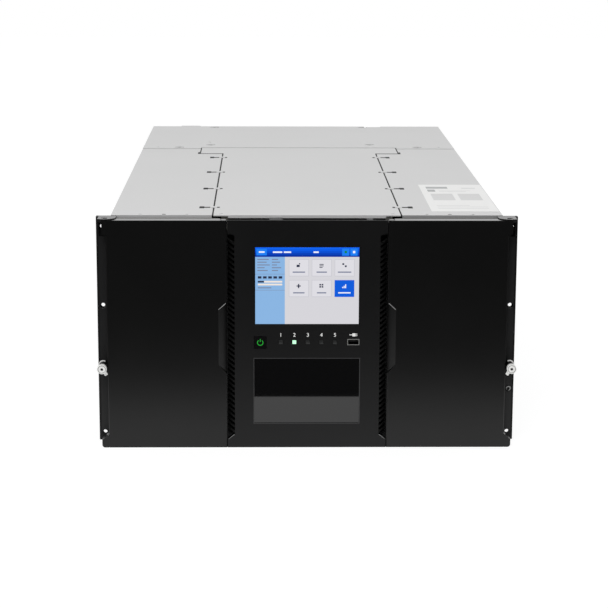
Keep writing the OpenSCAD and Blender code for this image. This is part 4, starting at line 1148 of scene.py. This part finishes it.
@dataclass
class EarHardware:
    """Thumbscrew of one rack ear, with the ring and the clip on its sleeve, and the screws beside it."""

    side: str
    sleeve_r: float = 4.4 * MM
    ring_r: float = 5.4 * MM
    ring_y: tuple[float, float] = (12.2 * MM, 15.9 * MM)
    opening: float = 2.4 * MM           # where the ring stops, counted from its middle
    clip_r: float = 5.1 * MM
    clip_y: tuple[float, float] = (-2.4 * MM, -1.2 * MM)
    lug: float = 4.6 * MM               # how far the clip's lug reaches past its ring
    lug_way: tuple[float, float] = (0.47, -0.88)
    groove_r: tuple[float, float] = (3.95 * MM, 4.45 * MM)
    socket_r: float = 1.48 * MM
    inlay_length: float = 0.4 * MM
    cap_at: tuple[float, float] = (228.0 * MM, 8.6 * MM)
    cap_size: tuple[float, float] = (2.4 * MM, 0.5 * MM)        # radius and length
    screw_size: tuple[float, float] = (1.75 * MM, 0.2 * MM)
    screw_at: tuple[float, float, float] = (232.6 * MM, 15 * MM, 65.6 * MM)

    def dress(self) -> None:
        """Plates the thumbscrew."""
        # painted highlight: the knob is drawn near white instead of reflecting metal
        dress([f"{self.side}_thumbscrew"], NICKEL_PAINTED_HIGHLIGHT)

    def _tube(self, name: str, radius: float, reach: tuple[float, float]) -> tuple[Piece, Vector]:
        """Makes a ring that sits on the sleeve.

        Args:
            name: Name of the piece.
            radius: Its outer radius.
            reach: Its front and rear, counted from the doors' face.

        Returns:
            The ring, and its middle.
        """
        centre = middle(f"{self.side}_thumbscrew")
        centre.y = FRONT + sum(reach) / 2
        ring = disc(name, centre, radius, reach[1] - reach[0], Axis.Y, 40)
        hollow(ring, radius - self.sleeve_r)
        return ring, centre

    def cap_socket(self) -> None:
        """Sinks a screw socket into the top of the ear's cap, coloured near black as painted shade in its
        hollow.
        """
        across, depth = self.cap_at
        at = (SIDES[self.side] * across, FRONT + depth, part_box("ear_trims")[1].z - 0.15 * MM)
        socket = disc(f"{self.side}_cap_socket", at, *self.cap_size, Axis.Z, 24)
        inset(socket, (0, 0, 1), 0.4 * MM, 0.1 * MM)
        finish_piece(socket, DEEP_SHADE_ABS, "chassis")

    def screw_socket(self) -> None:
        """Blackens the socket of the screw under the right knob with painted shade."""
        at = Vector(self.screw_at) + Vector((0, FRONT, 0))
        socket = disc("ear_screw_socket", at, *self.screw_size, Axis.Y, 24)
        inset(socket, (0, -1, 0), 0.5 * MM, 0.08 * MM)
        finish_piece(socket, DEEP_SHADE_ABS, "chassis")

    def ring(self) -> None:
        """Snaps an open ring onto the sleeve, in front of its collar; the opening looks to the door."""
        ring, centre = self._tube(f"{self.side}_sleeve_ring", self.ring_r, self.ring_y)
        inward = Vector((-SIDES[self.side], 0, 0))
        select_faces(ring, lambda face: True)
        end = centre + inward * self.opening
        bpy.ops.mesh.bisect(plane_co=end, plane_no=inward, use_fill=True, clear_outer=True)
        leave_edit_mode()
        soften(ring, 0.3 * MM, 3)
        # painted highlight: the ring is near white so that its top shows a bright crescent
        finish_piece(ring, NICKEL_PAINTED_HIGHLIGHT, "chassis")

    def inlay(self) -> None:
        """Darkens the groove turned in the knob's face and the hexagon socket in its middle with painted
        shade.
        """
        centre = middle(f"{self.side}_thumbscrew")
        centre.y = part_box(f"{self.side}_thumbscrew")[0].y + 0.3 * MM
        inner, outer = self.groove_r
        groove = disc("groove", centre, outer, self.inlay_length, Axis.Y, 48)
        hollow(groove, outer - inner)
        groove.data.materials.append(GROOVE_PAINTED_SHADE.material())
        socket = disc("socket", centre, self.socket_r, self.inlay_length, Axis.Y, 6)
        inset(socket, (0, -1, 0), 0.15 * MM, 0.15 * MM)
        socket.data.materials.append(DARK_RECESS.material())
        piece = join(f"{self.side}_knob_inlay", [groove, socket])
        finish_piece(piece, GROOVE_PAINTED_SHADE, f"{self.side}_thumbscrew")

    def clip(self) -> None:
        """Sets a sprung clip behind the knob, with a lug that points down beside the door."""
        clip, centre = self._tube(f"{self.side}_sleeve_clip", self.clip_r, self.clip_y)
        across, up = self.lug_way
        way = Vector((-SIDES[self.side] * across, 0, up)).normalized()
        select_faces(clip, lambda face: face.normal.dot(way) > 0.93 and abs(face.normal.y) < 0.1
                     and (face.calc_center_median() - centre).dot(way) > self.sleeve_r * 1.05)
        bpy.ops.mesh.extrude_region_move(TRANSFORM_OT_translate={"value": way * self.lug})
        leave_edit_mode()
        soften(clip, 0.3 * MM)
        # painted highlight: the clip is drawn near white instead of reflecting metal
        finish_piece(clip, NICKEL_PAINTED_HIGHLIGHT, "chassis")


@dataclass
class Drive:
    """One of the six tape drives.

    Reaches are counted across, from the rear face and from the case's foot, in millimetres.
    """

    index: int
    connectors_x: tuple[float, float] = (-66 * MM, -36 * MM)
    connector: Reach = ((-10, 10), (-2.9, -0.4), (15.2, 20.8))
    connector_lip: float = 0.8 * MM
    connector_depth: float = 1.6 * MM
    lamp_at: tuple[float, float] = (76 * MM, 30 * MM)
    lamp_size: tuple[float, float] = (1.5 * MM, 0.8 * MM)       # radius and length

    def dress(self) -> None:
        """Gives the case and the handle their finishes."""
        dress([f"tape_drive_{self.index}"], CASE_ALUMINIUM)
        dress([f"drive_handle_{self.index}"], BLUE_NYLON)

    def connectors(self) -> None:
        """Fills the rear recesses with data connectors and adds a small lamp."""
        low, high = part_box(f"tape_drive_{self.index}")
        face, base = high.y, low.z + CASE_FOOT
        body = f"drive_sled_{self.index}"
        shells = []
        for x in self.connectors_x:
            shell = block("connector", *around((x, face, base), *self.connector))
            inset(shell, (0, 1, 0), self.connector_lip, self.connector_depth)
            soften(shell, 0.15 * MM, 1)
            shells.append(shell)
        finish_piece(join(f"drive_{self.index}_connectors", shells), DARK_NICKEL, body)
        at = (self.lamp_at[0], face + 0.1 * MM, base + self.lamp_at[1])
        lamp = disc(f"drive_{self.index}_lamp", at, *self.lamp_size, Axis.Y, 20)
        soften(lamp, 0.2 * MM)
        finish_piece(lamp, LIT_PIPE, body)


@dataclass
class Supply:
    """One of the two power supplies.

    Reaches are counted from the inlet's middle, the rear face and the case's foot, in millimetres.
    """

    index: int
    inlet_x: float = 122 * MM
    lining: Reach = ((-13.4, 13.4), (-17.9, 0.6), (8.1, 27.9))
    lining_wall: float = 1.2 * MM
    lining_depth: float = 15.5 * MM
    blades: Reach = ((0, 21), (-7, 15), (7, 15))    # the middle of each, across and up
    blade_y: tuple[float, float] = (-15.2, -3)
    blade_half: tuple[float, float] = (1, 2)        # half the width and half the height

    def dress(self) -> None:
        """Gives the case, its fittings and its fan their finishes."""
        dress([f"power_supply_{self.index}"], CASE_ALUMINIUM)
        dress([f"supply_fittings_{self.index}"], BLACK_NYLON)
        dress([f"supply_fan_{self.index}"], FAN_PBT)

    def inlet(self) -> None:
        """Lines the mains inlet and sets its three blades in it."""
        low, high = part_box(f"power_supply_{self.index}")
        face, base = high.y, low.z + CASE_FOOT
        body = f"supply_module_{self.index}"
        at = (self.inlet_x, face, base)
        lining = block(f"inlet_lining_{self.index}", *around(at, *self.lining))
        inset(lining, (0, 1, 0), self.lining_wall, self.lining_depth)
        soften(lining, 0.3 * MM, 2)
        finish_piece(lining, FAN_PBT, body)
        wide, tall = self.blade_half
        boxes = [
            around(at, (x - wide, x + wide), self.blade_y, (z - tall, z + tall)) for x, z in self.blades
        ]
        finish_piece(pads(f"inlet_blades_{self.index}", boxes, 0.4 * MM, 2), NICKEL, body)


@dataclass
class Robot:
    """The lifting robot between the magazines."""

    def dress(self) -> None:
        """Gives the robot's metal and mouldings their finishes."""
        dress(["robot_platform", "robot_carriage"], ALUMINIUM)
        dress(["front_lift_shaft", "rear_lift_shaft"], NICKEL)
        dress(["tape_picker"], PICKER_ABS)
        dress(["tape_gripper"], ACETAL)


# ---------------------------------------------------------------- studio


@dataclass
class Studio:
    """Floor, light and camera."""

    floor_size: float = 12.0
    table_reach: float = 226 * MM       # pale table before the doors; dark floor lies beyond it
    table_half: float = 500 * MM
    pale: Colour = (0.86, 0.86, 0.86, 1)
    dark: Colour = (0.05, 0.05, 0.05, 1)
    floor_glow: float = 1.3
    glow_share: float = 0.8             # its part in what the camera and mirrors see of the floor
    room_y: tuple[float, float] = (-0.35, 0.25)     # where the room goes from dark to white
    room_light: tuple[float, float] = (0.05, 1.0)
    diffuse_light: float = 0.62
    backdrop: float = 1.0
    focal_mm: float = 113.636
    camera_at: tuple[float, float, float] = (-46.18, -2570.36, 623.29)
    yaw: float = -0.01994
    pitch: float = 0.21051
    roll: float = -0.00402

    def floor(self) -> None:
        """Lays the pale floor, which mirrors show as dark beyond the table's front edge."""
        deselect_all()
        bpy.ops.mesh.primitive_plane_add(size=self.floor_size, location=(0, 0, -0.02 * MM))
        floor = take("studio_floor")
        material = bpy.data.materials.new("studio_paper")
        material.use_nodes = True
        tree = material.node_tree
        tree.nodes.clear()
        path = add_node(tree, "ShaderNodeLightPath").outputs
        place = add_node(tree, "ShaderNodeTexCoord").outputs["Object"]
        axes = add_node(tree, "ShaderNodeSeparateXYZ", {"Vector": place}).outputs
        edge = FRONT - self.table_reach
        beyond = add_node(tree, "ShaderNodeMath", {0: axes["Y"], 1: edge}, operation="LESS_THAN").outputs[0]
        aside = add_node(tree, "ShaderNodeMath", {0: axes["X"]}, operation="ABSOLUTE").outputs[0]
        limits = {0: aside, 1: self.table_half}
        aside = add_node(tree, "ShaderNodeMath", limits, operation="GREATER_THAN").outputs[0]
        off = add_node(tree, "ShaderNodeMath", {0: beyond, 1: aside}, operation="MAXIMUM").outputs[0]
        rays = {0: off, 1: path["Is Glossy Ray"]}
        mirrored_off = add_node(tree, "ShaderNodeMath", rays, operation="MULTIPLY").outputs[0]
        shades = {"Factor": mirrored_off, FIRST: self.pale, SECOND: self.dark}
        tone = add_node(tree, "ShaderNodeMix", shades, data_type="RGBA").outputs[MIXED]
        paper = add_node(tree, "ShaderNodeBsdfDiffuse", {"Color": tone}).outputs[0]
        white = add_node(tree, "ShaderNodeEmission", {"Color": tone, "Strength": self.floor_glow}).outputs[0]
        seen = path["Is Camera Ray"]
        for ray in ("Is Glossy Ray", "Is Transmission Ray"):
            seen = add_node(tree, "ShaderNodeMath", {0: seen, 1: path[ray]}, operation="MAXIMUM").outputs[0]
        parts = {0: seen, 1: self.glow_share}
        share = add_node(tree, "ShaderNodeMath", parts, operation="MULTIPLY").outputs[0]
        both = add_node(tree, "ShaderNodeMixShader", {0: share, 1: paper, 2: white})
        add_node(tree, "ShaderNodeOutputMaterial", {"Surface": both.outputs[0]})
        floor.data.materials.append(material)

    def world(self) -> None:
        """Surrounds the set with white walls behind and a dark room behind the camera."""
        world = bpy.data.worlds.new("studio_room")
        bpy.context.scene.world = world
        world.use_nodes = True
        tree = world.node_tree
        tree.nodes.clear()
        path = add_node(tree, "ShaderNodeLightPath").outputs
        place = add_node(tree, "ShaderNodeTexCoord").outputs["Generated"]
        ahead = add_node(tree, "ShaderNodeSeparateXYZ", {"Vector": place}).outputs["Y"]
        level = add_node(tree, "ShaderNodeMapRange", {
            "Value": ahead, "From Min": self.room_y[0], "From Max": self.room_y[1],
            "To Min": self.room_light[0], "To Max": self.room_light[1],
        }).outputs["Result"]
        for ray, strength in (("Is Diffuse Ray", self.diffuse_light), ("Is Camera Ray", self.backdrop)):
            values = {"Factor": path[ray], "A": level, "B": strength}
            level = add_node(tree, "ShaderNodeMix", values, data_type="FLOAT").outputs[0]
        sky = add_node(tree, "ShaderNodeBackground", {"Color": (1, 1, 1, 1), "Strength": level})
        add_node(tree, "ShaderNodeOutputWorld", {"Surface": sky.outputs[0]})

    def lamp(self, name: str, at: Sequence[float], size: float, watts: float) -> None:
        """Hangs a soft box that looks at the object.

        Args:
            name: Name of the lamp.
            at: Its place, metres.
            size: Side of its square.
            watts: Its power.
        """
        data = bpy.data.lights.new(name, "AREA")
        data.size = size
        data.energy = watts
        lamp = bpy.data.objects.new(name, data)
        lamp.location = at
        lamp.rotation_euler = (Vector((0, 0, 0.1)) - Vector(at)).to_track_quat("-Z", "Y").to_euler()
        bpy.context.scene.collection.objects.link(lamp)

    def camera(self) -> None:
        """Sets the camera up before and above the doors."""
        data = bpy.data.cameras.new("front_camera")
        data.lens = self.focal_mm
        data.sensor_width = 36.0
        data.clip_end = 50.0
        ahead = Vector((-math.sin(self.yaw), math.cos(self.yaw), 0))
        right = Vector((math.cos(self.yaw), math.sin(self.yaw), 0))
        look = ahead * math.cos(self.pitch) - Vector((0, 0, math.sin(self.pitch)))
        up = ahead * math.sin(self.pitch) + Vector((0, 0, math.cos(self.pitch)))
        right_rolled = right * math.cos(self.roll) - up * math.sin(self.roll)
        up_rolled = right * math.sin(self.roll) + up * math.cos(self.roll)
        turn = Matrix((right_rolled, up_rolled, -look)).transposed()
        camera = bpy.data.objects.new("front_camera", data)
        camera.matrix_world = Matrix.Translation(Vector(self.camera_at) * MM) @ turn.to_4x4()
        bpy.context.scene.collection.objects.link(camera)
        bpy.context.scene.camera = camera

    def build(self) -> None:
        """Builds the studio."""
        self.camera()
        self.floor()
        self.world()
        self.lamp("overhead_box", (0.1, 0.1, 1.9), 1.8, 2.6)
        self.lamp("front_box", (-0.4, -2.3, 2.0), 0.9, 22.0)
        bpy.context.scene.view_settings.view_transform = "Standard"


def main() -> None:
    """Builds every sub-assembly's looks and reports each piece."""
    logging.basicConfig(level=logging.INFO, format="%(message)s")
    deselect_all()
    Studio().build()
    Chassis().dress()
    covers, controls = TopCovers(), Controls()
    for step in (
        covers.dress, covers.label, covers.shade_strips, covers.rivets, covers.sockets,
        controls.dress, controls.screen, controls.lights, controls.power_symbol, controls.plug_mark,
        controls.socket_flange, controls.channel_highlights, controls.gap_seals, controls.rims,
    ):
        step()
    for side in SIDES:
        magazine, hardware = Magazine(side), EarHardware(side)
        for step in (
            magazine.dress, magazine.grip_highlight, magazine.corner_seams,
            hardware.dress, hardware.ring, hardware.inlay, hardware.cap_socket,
        ):
            step()
        if side == "right":
            hardware.screw_socket()
        hardware.clip()
    for index in range(1, 7):
        drive = Drive(index)
        drive.dress()
        drive.connectors()
    for index in (1, 2):
        supply = Supply(index)
        supply.dress()
        supply.inlet()
    Robot().dress()
    deselect_all()


if __name__ == "__main__":
    main()
